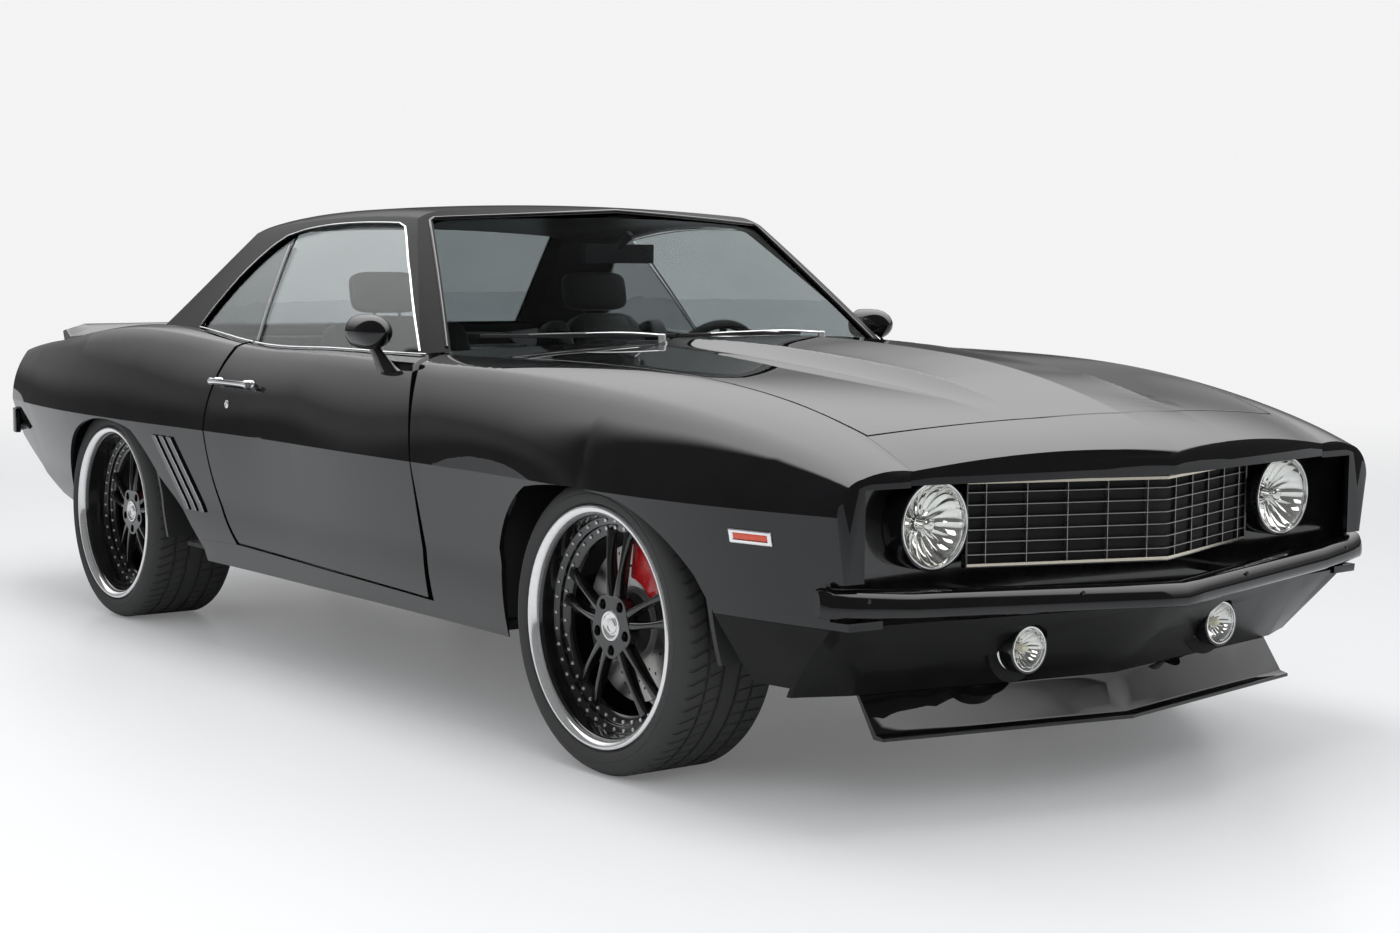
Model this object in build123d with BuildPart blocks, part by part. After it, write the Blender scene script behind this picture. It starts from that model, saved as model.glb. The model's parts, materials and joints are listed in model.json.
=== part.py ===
from build123d import *
from collections import namedtuple
import math
import os

# A two-door hardtop muscle car on low-profile tyres.  Millimetres, +X forward, +Y to the
# car's left, +Z up, origin on the ground midway between the two bumpers.

# --- overall ------------------------------------------------------------------------------
LENGTH = 4724.0            # bumper to bumper
WHEELBASE = 2743.0
FRONT_AXLE_X = 1421.0
REAR_AXLE_X = FRONT_AXLE_X - WHEELBASE
NOSE_X = LENGTH / 2
TAIL_X = -LENGTH / 2

# --- clearances and walls -----------------------------------------------------------------
SHUT_GAP = 6.0             # shut line round everything that opens
SEAM = 0.3                 # fixed panels that meet
SHEET = 12.0               # wings, bonnet and deck with their inner flanges
DOOR_DEPTH = 62.0          # outer skin to inner trim
ROOF_WALL = 26.0           # roof skin, pillars and headlining
GLASS = 6.0
GLASS_SET = 8.0            # glass lies this far behind the outer skin of the pillars

# --- body heights -------------------------------------------------------------------------
CREASE_Z = 650.0           # the straight side crease
WAIST_Z = 430.0
SILL_Z = 255.0             # bottom of the body side
BELT_Z = 860.0             # bottom of the glasshouse loft, hidden inside the body
INNER_DROP = 40.0          # the inner body loft runs this far below the sill

# Body half-sections, one row for each station: crown height at the centre, seam (bonnet,
# belt or deck edge), shoulder, then the width at the crease, the waist and the sill.
Section = namedtuple("Section", "x crown seam_y seam_z shoulder_y shoulder_z crease waist sill")
BODY = (
    Section(2350, 730, 630, 650, 745, 640, 800, 770, 720),
    Section(2190, 808, 650, 736, 775, 722, 838, 805, 750),
    Section(1980, 852, 652, 815, 805, 782, 893, 850, 790),
    Section(1421, 906, 688, 900, 846, 858, 940, 893, 852),
    Section(700, 940, 732, 911, 849, 884, 920, 880, 850),
    Section(0, 945, 760, 905, 839, 888, 912, 876, 848),
    Section(-500, 945, 758, 908, 840, 896, 916, 880, 850),
    Section(-1000, 945, 738, 936, 858, 926, 936, 893, 853),
    Section(-1500, 915, 692, 912, 848, 900, 932, 872, 822),
    Section(-2000, 876, 664, 864, 806, 846, 880, 812, 762),
    Section(-2350, 832, 648, 815, 765, 790, 815, 752, 702),
)
SHOULDER_RISE = 7.0        # fullness of the arcs between the section points
FLANK_BULGE = 12.0
ROCKER_BULGE = 6.0

# Glasshouse half-sections: crown, rail (the roof's side edge) and width at BELT_Z.
RoofSection = namedtuple("RoofSection", "x crown rail_y rail_z belt_y")
ROOF = (
    RoofSection(760, 1180, 590, 1150, 806),
    RoofSection(250, 1290, 596, 1250, 822),
    RoofSection(-200, 1308, 600, 1262, 826),
    RoofSection(-600, 1293, 596, 1245, 820),
    RoofSection(-1000, 1245, 562, 1200, 790),
    RoofSection(-1450, 1120, 520, 1080, 735),
)
SIDE_BULGE = 8.0
ROOF_TURN = 0.84           # share of the rail width where the roof starts to turn down
ROOF_TURN_DROP = 0.42      # share of the crown's fall reached there
ROOF_TURN_BULGE = 5.0

# Screens: plan arcs at two heights, x at the centre and x at SCREEN_SPAN
SCREEN_SPAN = 900.0
SCREEN_LOW_Z = 850.0
SCREEN_HIGH_Z = 1350.0
Screen = namedtuple("Screen", "low_centre low_side high_centre high_side")
WINDSHIELD = Screen(820.0, 491.0, 150.0, -154.0)
BACKLIGHT = Screen(-1450.0, -1298.0, -735.0, -551.0)

# --- outlines of the panels ---------------------------------------------------------------
NOSE_CORNER = (2194.0, 654.0)      # end of the header panel
NOSE_CENTRE_X = 2319.0
WING_FRONT_X = 2183.0
TAIL_CENTRE_X = -2302.0
TAIL_CORNER = (-2288.0, 600.0)
QUARTER_REAR_X = -2228.0
QUARTER_REAR_Y = 790.0
BONNET_REAR_X = 829.0
BONNET_CORNER = (2044.0, 646.0)
BONNET_TIP_X = 2152.0
BOOT_FRONT_X = -1565.0
BOOT_REAR_X = -2216.0
WING_SEAM_Z = 419.0        # wing above, valance below
WING_SEAM_X = 1817.0
LAMP_OPENING = (505.0, 700.0, 768.0)   # low z, high z, half width
TAIL_OPENING_Y = 690.0
REAR_VALANCE_X = -2110.0
DECK_STATIONS = (-1000.0, -1500.0)

# Side profile under the tail, from the rear arch to the deck
TAIL_PROFILE = (
    (-1690.0, 330.0), (-1829.0, 352.0), (-2004.0, 405.0), (-2150.0, 480.0),
    (-2290.0, 560.0), (-2302.0, 650.0), (-2236.0, 900.0),
)

# Door shut line in the side view
DOOR_TOP_Z = 960.0
DOOR_FRONT_TOP = (548.0, DOOR_TOP_Z)
DOOR_FRONT_MID = (624.0, 790.0)
DOOR_FRONT_CREASE = (665.0, CREASE_Z)
DOOR_FRONT_LOW = (679.0, 300.0)
DOOR_REAR_LOW = (-417.0, 327.0)
DOOR_REAR_BEND = (-503.0, 460.0)
DOOR_REAR_CREASE = (-529.0, 640.0)
DOOR_REAR_MID = (-509.0, 805.0)
DOOR_REAR_TOP = (-428.0, DOOR_TOP_Z)
DOOR_INNER_Y = 783.0
SILL_REAR_X = -640.0
DOOR_FRONT_BEVEL = 0.36    # the door's edges run inwards towards the cabin
DOOR_REAR_BEVEL = 0.15

# Wheel arches: rear foot, start of the curve, curve, flat, curve, front foot
Arch = namedtuple("Arch", "foot_rear rise_rear bend_rear top_rear top_mid top_front bend_front "
                          "rise_front toe foot_front")
FRONT_ARCH = Arch((1012, 200), (1030, 474), (1080, 552), (1190, 634), (1370, 651),
                  (1550, 641), (1685, 586), (1790, 494), (1862, 360), (1930, 200))
REAR_ARCH = Arch((-1712, 200), (-1665, 430), (-1577, 528), (-1443, 605), (-1225, 645),
                 (-1010, 622), (-940, 568), (-866, 491), (-737, 401), (-560, 200))

# Side windows, from the pillar's foot over the top to the rear corner
WINDOW_FOOT = (566.0, 850.0)
WINDOW_PILLAR_TOP = (112.0, 1236.0)
WINDOW_TOP = (70.0, 1247.0)
WINDOW_TOP_MID = (-300.0, 1245.0)
WINDOW_TOP_REAR = (-560.0, 1214.0)
WINDOW_REAR_MID = (-735.0, 1112.0)
WINDOW_CORNER = (-872.0, 946.0)
WINDOW_CORNER_LOW = (-845.0, 850.0)
SCREEN_CUT_DEPTH = 42.0    # the screens' openings are cut this deep
DIVIDER_LOW = (-396.0, 850.0)
DIVIDER_HIGH = (-538.0, 1240.0)
SCREEN_OPENING = ((722.0, 850.0), (722.0, 919.0), (560.0, 1254.0), (0.0, 1283.0))
BACKLIGHT_OPENING = ((640.0, 850.0), (622.0, 925.0), (500.0, 1228.0), (0.0, 1255.0))

# --- wheels -------------------------------------------------------------------------------
TYRE_RADIUS = 335.0
RIM_RADIUS = 274.0
BEAD_RADIUS = 252.0
Axle = namedtuple("Axle", "name x outer_y width hub")   # hub: centre cap behind the tyre side
AXLES = (
    Axle("front", FRONT_AXLE_X, 893.0, 270.0, 45.0),
    Axle("rear", REAR_AXLE_X, 868.0, 288.0, 70.0),
)
SPOKES = 5
SPOKE_SPREAD = 11.0        # each spoke is two arms, this many degrees either side
SPOKE_MIDDLE, SPOKE_LENGTH, SPOKE_WIDTH, SPOKE_DEPTH = 129.0, 170.0, 22.0, 30.0
CAP_RADIUS = 33.0
LUG_CIRCLE, LUG_RADIUS = 56.0, 9.0
HAT_RADIUS = 72.0
DISC_RADIUS, DISC_WIDTH, DISC_DEPTH, DISC_CLEAR = 178.0, 30.0, 70.0, 6.0
SPINDLE_RADIUS, SPINDLE_LENGTH = 22.0, 50.0
CALIPER_IN, CALIPER_OUT = 108.0, 200.0
CALIPER_ANGLE, CALIPER_SPAN = 58.0, 24.0
CALIPER_DEPTH, CALIPER_WIDTH = 50.0, 78.0
KNUCKLE_GAP = 8.0
BALL_RISE = 70.0           # ball joints above and below the axle
ARM_THICK, ARM_TIP, ARM_TIP_Y = 25.0, 14.0, 17.0
LOWER_ARM, UPPER_ARM = 150.0, 110.0     # half spread of each arm at the subframe

# --- cabin and underbody ------------------------------------------------------------------
FLOOR_Z = 262.0
FLOOR_PLATE = 12.0
JACK_PADS = ((500.0, 600.0), (-600.0, 600.0))
JACK_PAD_LENGTH, JACK_PAD_WIDTH, JACK_PAD_HEIGHT = 90.0, 60.0, 8.0
FIREWALL_X = 862.0
FLOOR_HALF = 770.0
BULKHEAD_X = -960.0
BOOT_FLOOR_Z = 470.0
RAIL_Y = 395.0
PANEL_X = 2104.0           # front face of the lamp panel
PANEL_DEPTH = 14.0
RAIL_FRONT_X = 2060.0
DIFF_RADIUS = 122.0
SPRING_Y, CARRIER_Y = 500.0, 645.0
ARM_WINDOW = 175.0         # half length of the housing walls' openings for the arms
TUNNEL_HALF, TUNNEL_HEIGHT = 125.0, 100.0
FIREWALL_TOP_Z = 880.0
SHELF_X, SHELF_Z, SHELF_REAR_X = -1180.0, 880.0, -1345.0
BOOT_HALF = 544.0
BOOT_END_X = REAR_VALANCE_X + SEAM
HOUSING_LOW_Z, HOUSING_TOP_Z = 300.0, 712.0
FRONT_HOUSING = (1000.0, 1812.0, 456.0)    # rear wall, front wall, inner wall
REAR_HOUSING = (-1685.0, -893.0, 545.0)
BONNET_STOPS = ((1040.0, 610.0), (1760.0, 590.0))
STOP_RADIUS = 14.0
BOOT_STOP_X, BOOT_STOP_Y, BOOT_STOP_Z = -2195.0, 500.0, 970.0
SILL_BEAM_REAR_X, SILL_BEAM_TOP_Z = -630.0, 294.0
HINGE_POST_X, HINGE_POST_Y, HINGE_POST_TOP_Z = 760.0, 845.0, 870.0
HINGE_X, HINGE_Y, HINGE_Z = 725.0, 891.0, CREASE_Z
HINGE_HALF, HINGE_PIN, HINGE_BARREL = 38.0, 5.0, 10.0
HINGE_ARM_TOP = 4.0        # the arm ends this far above the hinge's middle
HINGE_ARM = ((6, -2), (-13, -66), (-79, -66), (-118, -24), (-108, -12), (-72, -54), (-25, -54),
             (-8, 2))
HANDLE_X, HANDLE_Y, HANDLE_Z = -380.0, 906.0, 795.0
HANDLE_LENGTH, HANDLE_THICK, HANDLE_HEIGHT = 250.0, 12.0, 15.0
MIRROR_X, MIRROR_Y, MIRROR_Z = 367.0, 862.0, 961.0
MIRROR_NOSE, MIRROR_TAIL, MIRROR_RADIUS = 78.0, 62.0, 47.0
MIRROR_FOOT = ((500, 820), (428, 820), (404, 900), (352, 930), (352, 960), (396, 955),
               (436, 916), (478, 880))
REAR_SEAT_HALF = 540.0
SEAT_Y = 375.0
DASH_HALF = 745.0
DASH_PROFILE = ((FIREWALL_X - SEAM, 560), (600, 540), (540, 600), (500, 690), (482, 760),
                (500, 850), (560, 876), (FIREWALL_X - SEAM, 880))
STEER_CENTRE = (191.0, 370.0, 808.0)
STEER_AXIS = (-math.cos(math.radians(25)), 0, math.sin(math.radians(25)))
STEER_RADIUS, STEER_GRIP = 172.0, 14.0
COLUMN_RADIUS, COLUMN_LENGTH = 30.0, 380.0
EXHAUST_Y, EXHAUST_Z, EXHAUST_RADIUS, EXHAUST_REAR_X = 230.0, 224.0, 28.0, -1900.0

# --- nose and tail fittings ---------------------------------------------------------------
VALANCE_LOW_Z = 250.0
VALANCE_LOW = ((2158.0, 0.0), (2038.0, 670.0), (1990.0, 770.0), (1900.0, 1000.0))
VALANCE_HIGH = ((2292.0, 0.0), (2160.0, 654.0), (2140.0, 775.0), (2136.0, 1000.0))
BUMPER_NOTCH_X = 2140.0
FRONT_BUMPER = (           # y, front x, back x, low z, high z
    (0, 2362, 2318, 425, 474), (654, 2218, 2176, 438, 489), (800, 2186, 2148, 446, 500),
    (850, 2172, 2142, 450, 505), (862, 2158, 2142, 454, 501),
)
BRACKET_Y = 380.0
LAMP_X, LAMP_Y, LAMP_Z, LAMP_RADIUS = 2162.0, 555.0, 615.0, 96.0
FOG_X, FOG_Y, FOG_Z, FOG_RADIUS, FOG_DEPTH = 2194.0, 308.0, 339.0, 54.0, 70.0
GRILLE_X, GRILLE_SLOPE, GRILLE_HALF = 2297.0, 0.344, 452.0
GRILLE_LOW_Z, GRILLE_HIGH_Z = 515.0, 702.0
GRILLE_ROWS, GRILLE_COLUMNS = 7, 5
GRILLE_BAR, GRILLE_FRAME, GRILLE_DEPTH = 3.0, 7.0, 14.0
CHIN_ROWS = ((0, 2158, 2191, 162), (650, 2042, 2096, 172))     # y, top x, foot x, foot z
MARKER_X, MARKER_Z, MARKER_OUT_Y = 1968.0, 594.0, 899.0
GILL_RAISE = 6.0
GILL_BARS, GILL_PITCH, GILL_WIDTH = 3, 48.0, 30.0
GILL_LOW_X, GILL_HIGH_X, GILL_LOW_Z, GILL_HIGH_Z = -712.0, -858.0, 405.0, 617.0
LAMP_TAIL = (300.0, 640.0, 650.0, 752.0)
REAR_BUMPER_LOW, REAR_BUMPER_HIGH = 535.0, 618.0
SPOILER_ROWS = ((0, -2050, 912, -2296), (560, -2060, 908, -2286), (650, -2080, 890, -2236))
WIPER_Z, WIPER_X, WIPER_BOW = 948.0, 702.0, 0.000406
WIPERS = ((-130, -640, (800, -250)), (330, -120, (790, 300)))


# --- working shapes -----------------------------------------------------------------------
def row_plane(x):
    """Cross-section plane at station x: local x is +Y, local y is +Z."""
    return Plane(origin=(x, 0, 0), x_dir=(0, 1, 0), z_dir=(1, 0, 0))


def at(table, column, x):
    """Value of a table's column at station x, straight between its rows."""
    rows = sorted(table, key=lambda row: row.x)
    x = min(max(x, rows[0].x), rows[-1].x)
    for low, high in zip(rows, rows[1:]):
        if low.x <= x <= high.x:
            share = (x - low.x) / (high.x - low.x)
            return getattr(low, column) * (1 - share) + getattr(high, column) * share
    return getattr(rows[-1], column)


def block(low, high):
    """Box between two opposite corners."""
    centre = tuple((a + b) / 2 for a, b in zip(low, high))
    with BuildPart() as box:
        with Locations(centre):
            Box(*(b - a for a, b in zip(low, high)))
    return box.part


def plan_prism(points, low_z, high_z):
    """Upright prism on an (x, y) outline."""
    with BuildPart() as prism:
        with BuildSketch(Plane.XY.offset(low_z)):
            with BuildLine():
                Polyline(*points, close=True)
            make_face()
        extrude(amount=high_z - low_z)
    return prism.part


def side_prism(points, low_y, high_y):
    """Prism along Y on an (x, z) outline."""
    with BuildPart() as prism:
        with BuildSketch(Plane.XZ.offset(-low_y)):
            with BuildLine():
                Polyline(*points, close=True)
            make_face()
        extrude(amount=low_y - high_y)
    return prism.part


def front_prism(points, low_x, high_x):
    """Prism along X on a (y, z) outline."""
    with BuildPart() as prism:
        with BuildSketch(row_plane(low_x)):
            with BuildLine():
                Polyline(*points, close=True)
            make_face()
        extrude(amount=high_x - low_x)
    return prism.part


def both_sides(shape):
    """The shape together with its mirror image across the car."""
    with BuildPart() as pair:
        add(shape)
        mirror(about=Plane.XZ)
    return pair.part


def loft_body(inset):
    """Smooth loft of the whole lower body, every face moved inwards by inset."""
    floor_z = SILL_Z - (INNER_DROP if inset > SEAM else 0)
    with BuildPart() as body:
        for row in BODY:
            crown = (0, row.crown - inset)
            with BuildSketch(row_plane(row.x)):
                with BuildLine():
                    for s in (1, -1):
                        seam = (s * (row.seam_y - 0.6 * inset), row.seam_z - inset)
                        shoulder = (s * (row.shoulder_y - inset), row.shoulder_z - 0.6 * inset)
                        crease = (s * (row.crease - inset), CREASE_Z)
                        waist = (s * (row.waist - inset), WAIST_Z)
                        sill = (s * (row.sill - inset), floor_z)
                        top = (seam[0] / 2, crown[1] - 0.25 * (crown[1] - seam[1]))
                        ThreePointArc(crown, top, seam)
                        middle = ((seam[0] + shoulder[0]) / 2, (seam[1] + shoulder[1]) / 2)
                        ThreePointArc(seam, (middle[0], middle[1] + SHOULDER_RISE), shoulder)
                        middle = ((shoulder[0] + crease[0]) / 2, (shoulder[1] + crease[1]) / 2)
                        flank = (middle[0] + s * FLANK_BULGE, middle[1] + FLANK_BULGE)
                        ThreePointArc(shoulder, flank, crease)
                        Line(crease, waist)
                        middle = ((waist[0] + sill[0]) / 2, (waist[1] + sill[1]) / 2)
                        ThreePointArc(waist, (middle[0] + s * ROCKER_BULGE, middle[1]), sill)
                    Line((row.sill - inset, floor_z), (inset - row.sill, floor_z))
                make_face()
        loft()
    return body.part


def end_trim(inset):
    """Solid that bounds the body's nose and tail, in plan and in the side view."""
    far = 1000.0
    nose = [
        (WING_FRONT_X - inset, far), (WING_FRONT_X - inset, 806),
        (NOSE_CORNER[0] - inset, NOSE_CORNER[1]), (NOSE_CENTRE_X - inset, 0),
    ]
    tail = [
        (TAIL_CENTRE_X + inset, 0), (TAIL_CORNER[0] + inset, TAIL_CORNER[1]),
        (QUARTER_REAR_X + inset, QUARTER_REAR_Y), (QUARTER_REAR_X + inset, far),
    ]
    half = tail + nose
    full = half + [(x, -y) for x, y in reversed(half[1:-1])]
    profile = [(NOSE_X, 100), (NOSE_X, far), (TAIL_PROFILE[-1][0] + inset, far)]
    profile += [(x + inset, z + (inset if x < -1700 else 0)) for x, z in reversed(TAIL_PROFILE)]
    profile += [(TAIL_PROFILE[0][0] + inset, 100)]
    with BuildPart() as trim:
        add(plan_prism(full, 100, far))
        add(side_prism(profile, -far, far), mode=Mode.INTERSECT)
    return trim.part


def trimmed(shape, inset):
    """A body loft with its nose and tail cut to shape."""
    trim = end_trim(inset)
    with BuildPart() as body:
        add(shape)
        add(trim, mode=Mode.INTERSECT)
    return body.part


def loft_roof(inset):
    """Loft of the glasshouse from the belt to the roof."""
    with BuildPart() as roof_loft:
        for row in ROOF:
            with BuildSketch(row_plane(row.x)):
                with BuildLine():
                    crown = (0, row.crown - inset)
                    for s in (1, -1):
                        rail = (s * (row.rail_y - inset), row.rail_z - inset)
                        belt = (s * (row.belt_y - inset), BELT_Z)
                        fall = crown[1] - rail[1]
                        drop = ROOF_TURN_DROP * fall
                        turn = (rail[0] * ROOF_TURN, crown[1] - drop)
                        ThreePointArc(crown, (turn[0] / 2, crown[1] - drop / 4), turn)
                        middle = ((turn[0] + rail[0]) / 2, (turn[1] + rail[1]) / 2)
                        edge = (middle[0] + s * ROOF_TURN_BULGE, middle[1] + ROOF_TURN_BULGE)
                        ThreePointArc(turn, edge, rail)
                        side = ((rail[0] + belt[0]) / 2 + s * SIDE_BULGE, (rail[1] + belt[1]) / 2)
                        ThreePointArc(rail, side, belt)
                    Line((row.belt_y - inset, BELT_Z), (inset - row.belt_y, BELT_Z))
                make_face()
        loft()
    return roof_loft.part


def loft_screens(inset):
    """Solid between the windscreen's and the rear window's outer faces."""
    with BuildPart() as wedge:
        for height, front, rear in (
            (SCREEN_LOW_Z, WINDSHIELD[:2], BACKLIGHT[:2]),
            (SCREEN_HIGH_Z, WINDSHIELD[2:], BACKLIGHT[2:]),
        ):
            f_mid, f_end = front[0] - inset, front[1] - inset
            r_mid, r_end = rear[0] + inset, rear[1] + inset
            with BuildSketch(Plane.XY.offset(height)):
                with BuildLine():
                    ThreePointArc((f_end, -SCREEN_SPAN), (f_mid, 0), (f_end, SCREEN_SPAN))
                    Line((f_end, SCREEN_SPAN), (r_end, SCREEN_SPAN))
                    ThreePointArc((r_end, SCREEN_SPAN), (r_mid, 0), (r_end, -SCREEN_SPAN))
                    Line((r_end, -SCREEN_SPAN), (f_end, -SCREEN_SPAN))
                make_face()
        loft(ruled=True)
    return wedge.part


def glasshouse(inset):
    """The whole glasshouse, every face moved inwards by inset."""
    roof_loft = loft_roof(inset)
    wedge = loft_screens(inset)
    with BuildPart() as house:
        add(roof_loft)
        add(wedge, mode=Mode.INTERSECT)
    return house.part


def door_prism(shrink, front_bevel, rear_bevel):
    """Door outline in the side view, smaller by shrink, its edges running inwards."""
    skin_y = at(BODY, "crease", DOOR_FRONT_CREASE[0])
    with BuildPart() as prism:
        for y in (1000.0, DOOR_INNER_Y - 60):
            f = shrink + front_bevel * (skin_y - y)
            r = shrink + rear_bevel * (skin_y - y)
            with BuildSketch(Plane.XZ.offset(-y)):
                with BuildLine():
                    front = [(p[0] - f, p[1]) for p in
                             (DOOR_FRONT_TOP, DOOR_FRONT_MID, DOOR_FRONT_CREASE)]
                    rear = [(p[0] + r, p[1]) for p in
                            (DOOR_REAR_CREASE, DOOR_REAR_MID, DOOR_REAR_TOP)]
                    low_front = (DOOR_FRONT_LOW[0] - f, DOOR_FRONT_LOW[1] + shrink)
                    low_rear = (DOOR_REAR_LOW[0] + r, DOOR_REAR_LOW[1] + shrink)
                    bend = (DOOR_REAR_BEND[0] + r, DOOR_REAR_BEND[1])
                    ThreePointArc(*front)
                    Line(front[2], low_front)
                    Line(low_front, low_rear)
                    ThreePointArc(low_rear, bend, rear[0])
                    ThreePointArc(*rear)
                    Line(rear[2], front[0])
                make_face()
        loft(ruled=True)
    return prism.part


def arch_prism(arch, low_y, high_y):
    """Wheel arch opening, across the body side."""
    with BuildPart() as prism:
        with BuildSketch(Plane.XZ.offset(-low_y)):
            with BuildLine():
                Line(arch.foot_rear, arch.rise_rear)
                ThreePointArc(arch.rise_rear, arch.bend_rear, arch.top_rear)
                ThreePointArc(arch.top_rear, arch.top_mid, arch.top_front)
                ThreePointArc(arch.top_front, arch.bend_front, arch.rise_front)
                Line(arch.rise_front, arch.toe)
                Line(arch.toe, arch.foot_front)
                Line(arch.foot_front, arch.foot_rear)
            make_face()
        extrude(amount=low_y - high_y)
    return prism.part


def window_prism(shrink, rear_part, front_part):
    """Side window opening in the side view, whole or ahead of or behind the divider."""
    s = shrink
    with BuildPart() as prism:
        with BuildSketch(Plane.XZ.offset(-1000)):
            with BuildLine():
                foot = (WINDOW_FOOT[0] - 1.3 * s, WINDOW_FOOT[1])
                pillar = (WINDOW_PILLAR_TOP[0] - 1.3 * s, WINDOW_PILLAR_TOP[1])
                top = (WINDOW_TOP[0], WINDOW_TOP[1] - s)
                rear_top = (WINDOW_TOP_REAR[0] + 0.5 * s, WINDOW_TOP_REAR[1] - s)
                corner = (WINDOW_CORNER[0] + 1.3 * s, WINDOW_CORNER[1])
                low = (WINDOW_CORNER_LOW[0] + 1.3 * s, WINDOW_CORNER_LOW[1])
                Line(foot, pillar)
                Line(pillar, top)
                ThreePointArc(top, (WINDOW_TOP_MID[0], WINDOW_TOP_MID[1] - s), rear_top)
                ThreePointArc(rear_top, (WINDOW_REAR_MID[0] + s, WINDOW_REAR_MID[1] - s), corner)
                Line(corner, low)
                Line(low, foot)
            make_face()
        extrude(amount=2000, both=True)
    slope = (DIVIDER_HIGH[0] - DIVIDER_LOW[0]) / (DIVIDER_HIGH[1] - DIVIDER_LOW[1])
    high_z = 1400.0
    high_x = DIVIDER_LOW[0] + slope * (high_z - DIVIDER_LOW[1])
    if front_part is not None:
        edge = ((DIVIDER_LOW[0] + front_part, 850), (high_x + front_part, high_z),
                (1500, high_z), (1500, 850))
    elif rear_part is not None:
        edge = ((DIVIDER_LOW[0] - rear_part, 850), (high_x - rear_part, high_z),
                (-1500, high_z), (-1500, 850))
    else:
        return prism.part
    keep = side_prism(edge, -1000, 1000)
    with BuildPart() as kept:
        add(prism.part)
        add(keep, mode=Mode.INTERSECT)
    return kept.part


def band_outline(rows, narrow):
    """Closed (x, y) outline from half-width rows, narrower by narrow."""
    left = [(x, y - narrow) for x, y in rows]
    return left + [(x, -y) for x, y in reversed(left)]


os.makedirs("parts", exist_ok=True)

# --- shared hulls -------------------------------------------------------------------------
raw_outer = loft_body(0)
raw_inner = loft_body(SHEET)
outer = trimmed(raw_outer, 0)
inner = trimmed(raw_inner, SHEET)
liner_hull = loft_body(SHEET + SEAM)
clear_hull = loft_body(-SEAM)
house_outer = glasshouse(0)
house_inner = glasshouse(ROOF_WALL)
with BuildPart() as skin:
    add(outer)
    add(inner, mode=Mode.SUBTRACT)
    add(house_inner, mode=Mode.SUBTRACT)

seam_front = [(x, at(BODY, "seam_y", x)) for x in (450.0, BONNET_REAR_X, 1421.0, 1980.0)]
seam_nose = [BONNET_CORNER, NOSE_CORNER, (NOSE_X + 40, NOSE_CORNER[1])]
centre_band = plan_prism(band_outline(seam_front + seam_nose, 0), 440, 1000)
door_opening = both_sides(door_prism(0, 0, 0))
sill_line = ((SILL_REAR_X, 200), (SILL_REAR_X, 318), DOOR_REAR_LOW, DOOR_FRONT_LOW,
             (DOOR_FRONT_LOW[0], 200))
sill_zone = side_prism(sill_line, -1000, 1000)
front_arches = both_sides(arch_prism(FRONT_ARCH, 560, 1000))
rear_arches = both_sides(arch_prism(REAR_ARCH, 560, 1000))

# --- front wings --------------------------------------------------------------------------
wing_zone = block((500, -1000, WING_SEAM_Z + SEAM), (NOSE_X, 1000, 1000))
wing_foot = block((500, -1000, SILL_Z - 1), (1300, 1000, WING_SEAM_Z + SEAM))
lamp_hole = block((2090, -LAMP_OPENING[2], LAMP_OPENING[0]),
                  (2400, LAMP_OPENING[2], LAMP_OPENING[1]))
bumper_hole = block((2090, -720, WING_SEAM_Z), (2400, 720, LAMP_OPENING[0] + 1))
bumper_notch = block((BUMPER_NOTCH_X, -1000, 436), (2400, 1000, 514))
with BuildPart() as wing_area:
    add(wing_zone)
    add(wing_foot)
with BuildPart() as wings:
    add(skin.part)
    add(wing_area.part, mode=Mode.INTERSECT)
    add(centre_band, mode=Mode.SUBTRACT)
    add(door_opening, mode=Mode.SUBTRACT)
    add(sill_zone, mode=Mode.SUBTRACT)
    add(front_arches, mode=Mode.SUBTRACT)
    add(lamp_hole, mode=Mode.SUBTRACT)
    add(bumper_hole, mode=Mode.SUBTRACT)
    add(bumper_notch, mode=Mode.SUBTRACT)

# --- bonnet, header, cowl -----------------------------------------------------------------
bonnet_edge = [(x, at(BODY, "seam_y", x)) for x in (BONNET_REAR_X, 1421.0, 1980.0)]
bonnet_outline = band_outline(bonnet_edge + [BONNET_CORNER], SHUT_GAP)
bonnet_outline.insert(len(bonnet_edge) + 1, (BONNET_TIP_X, 0))
bonnet_zone = plan_prism(bonnet_outline, 690, 1000)
header_edge = [(BONNET_CORNER[0] + SHUT_GAP, BONNET_CORNER[1]), NOSE_CORNER]
header_outline = band_outline(header_edge + [(NOSE_X + 40, NOSE_CORNER[1])], SEAM)
header_outline.append((BONNET_TIP_X + SHUT_GAP, 0))
header_zone = plan_prism(header_outline, LAMP_OPENING[1] + 4, 1000)
cowl_edge = [(x, at(BODY, "seam_y", x)) for x in (BONNET_REAR_X - SHUT_GAP, 470.0)]
cowl_zone = plan_prism(band_outline(cowl_edge, SEAM), 600, 1000)
with BuildPart() as bonnet:
    add(skin.part)
    add(bonnet_zone, mode=Mode.INTERSECT)
with BuildPart() as header_panel:
    add(skin.part)
    add(header_zone, mode=Mode.INTERSECT)
with BuildPart() as cowl_panel:
    add(skin.part)
    add(cowl_zone, mode=Mode.INTERSECT)

# --- sills and rear quarters --------------------------------------------------------------
sill_cut = [(x, z - SEAM) for x, z in sill_line]
sill_keep = side_prism(sill_cut, -1000, 1000)
with BuildPart() as sills:
    add(skin.part)
    add(sill_keep, mode=Mode.INTERSECT)

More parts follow.
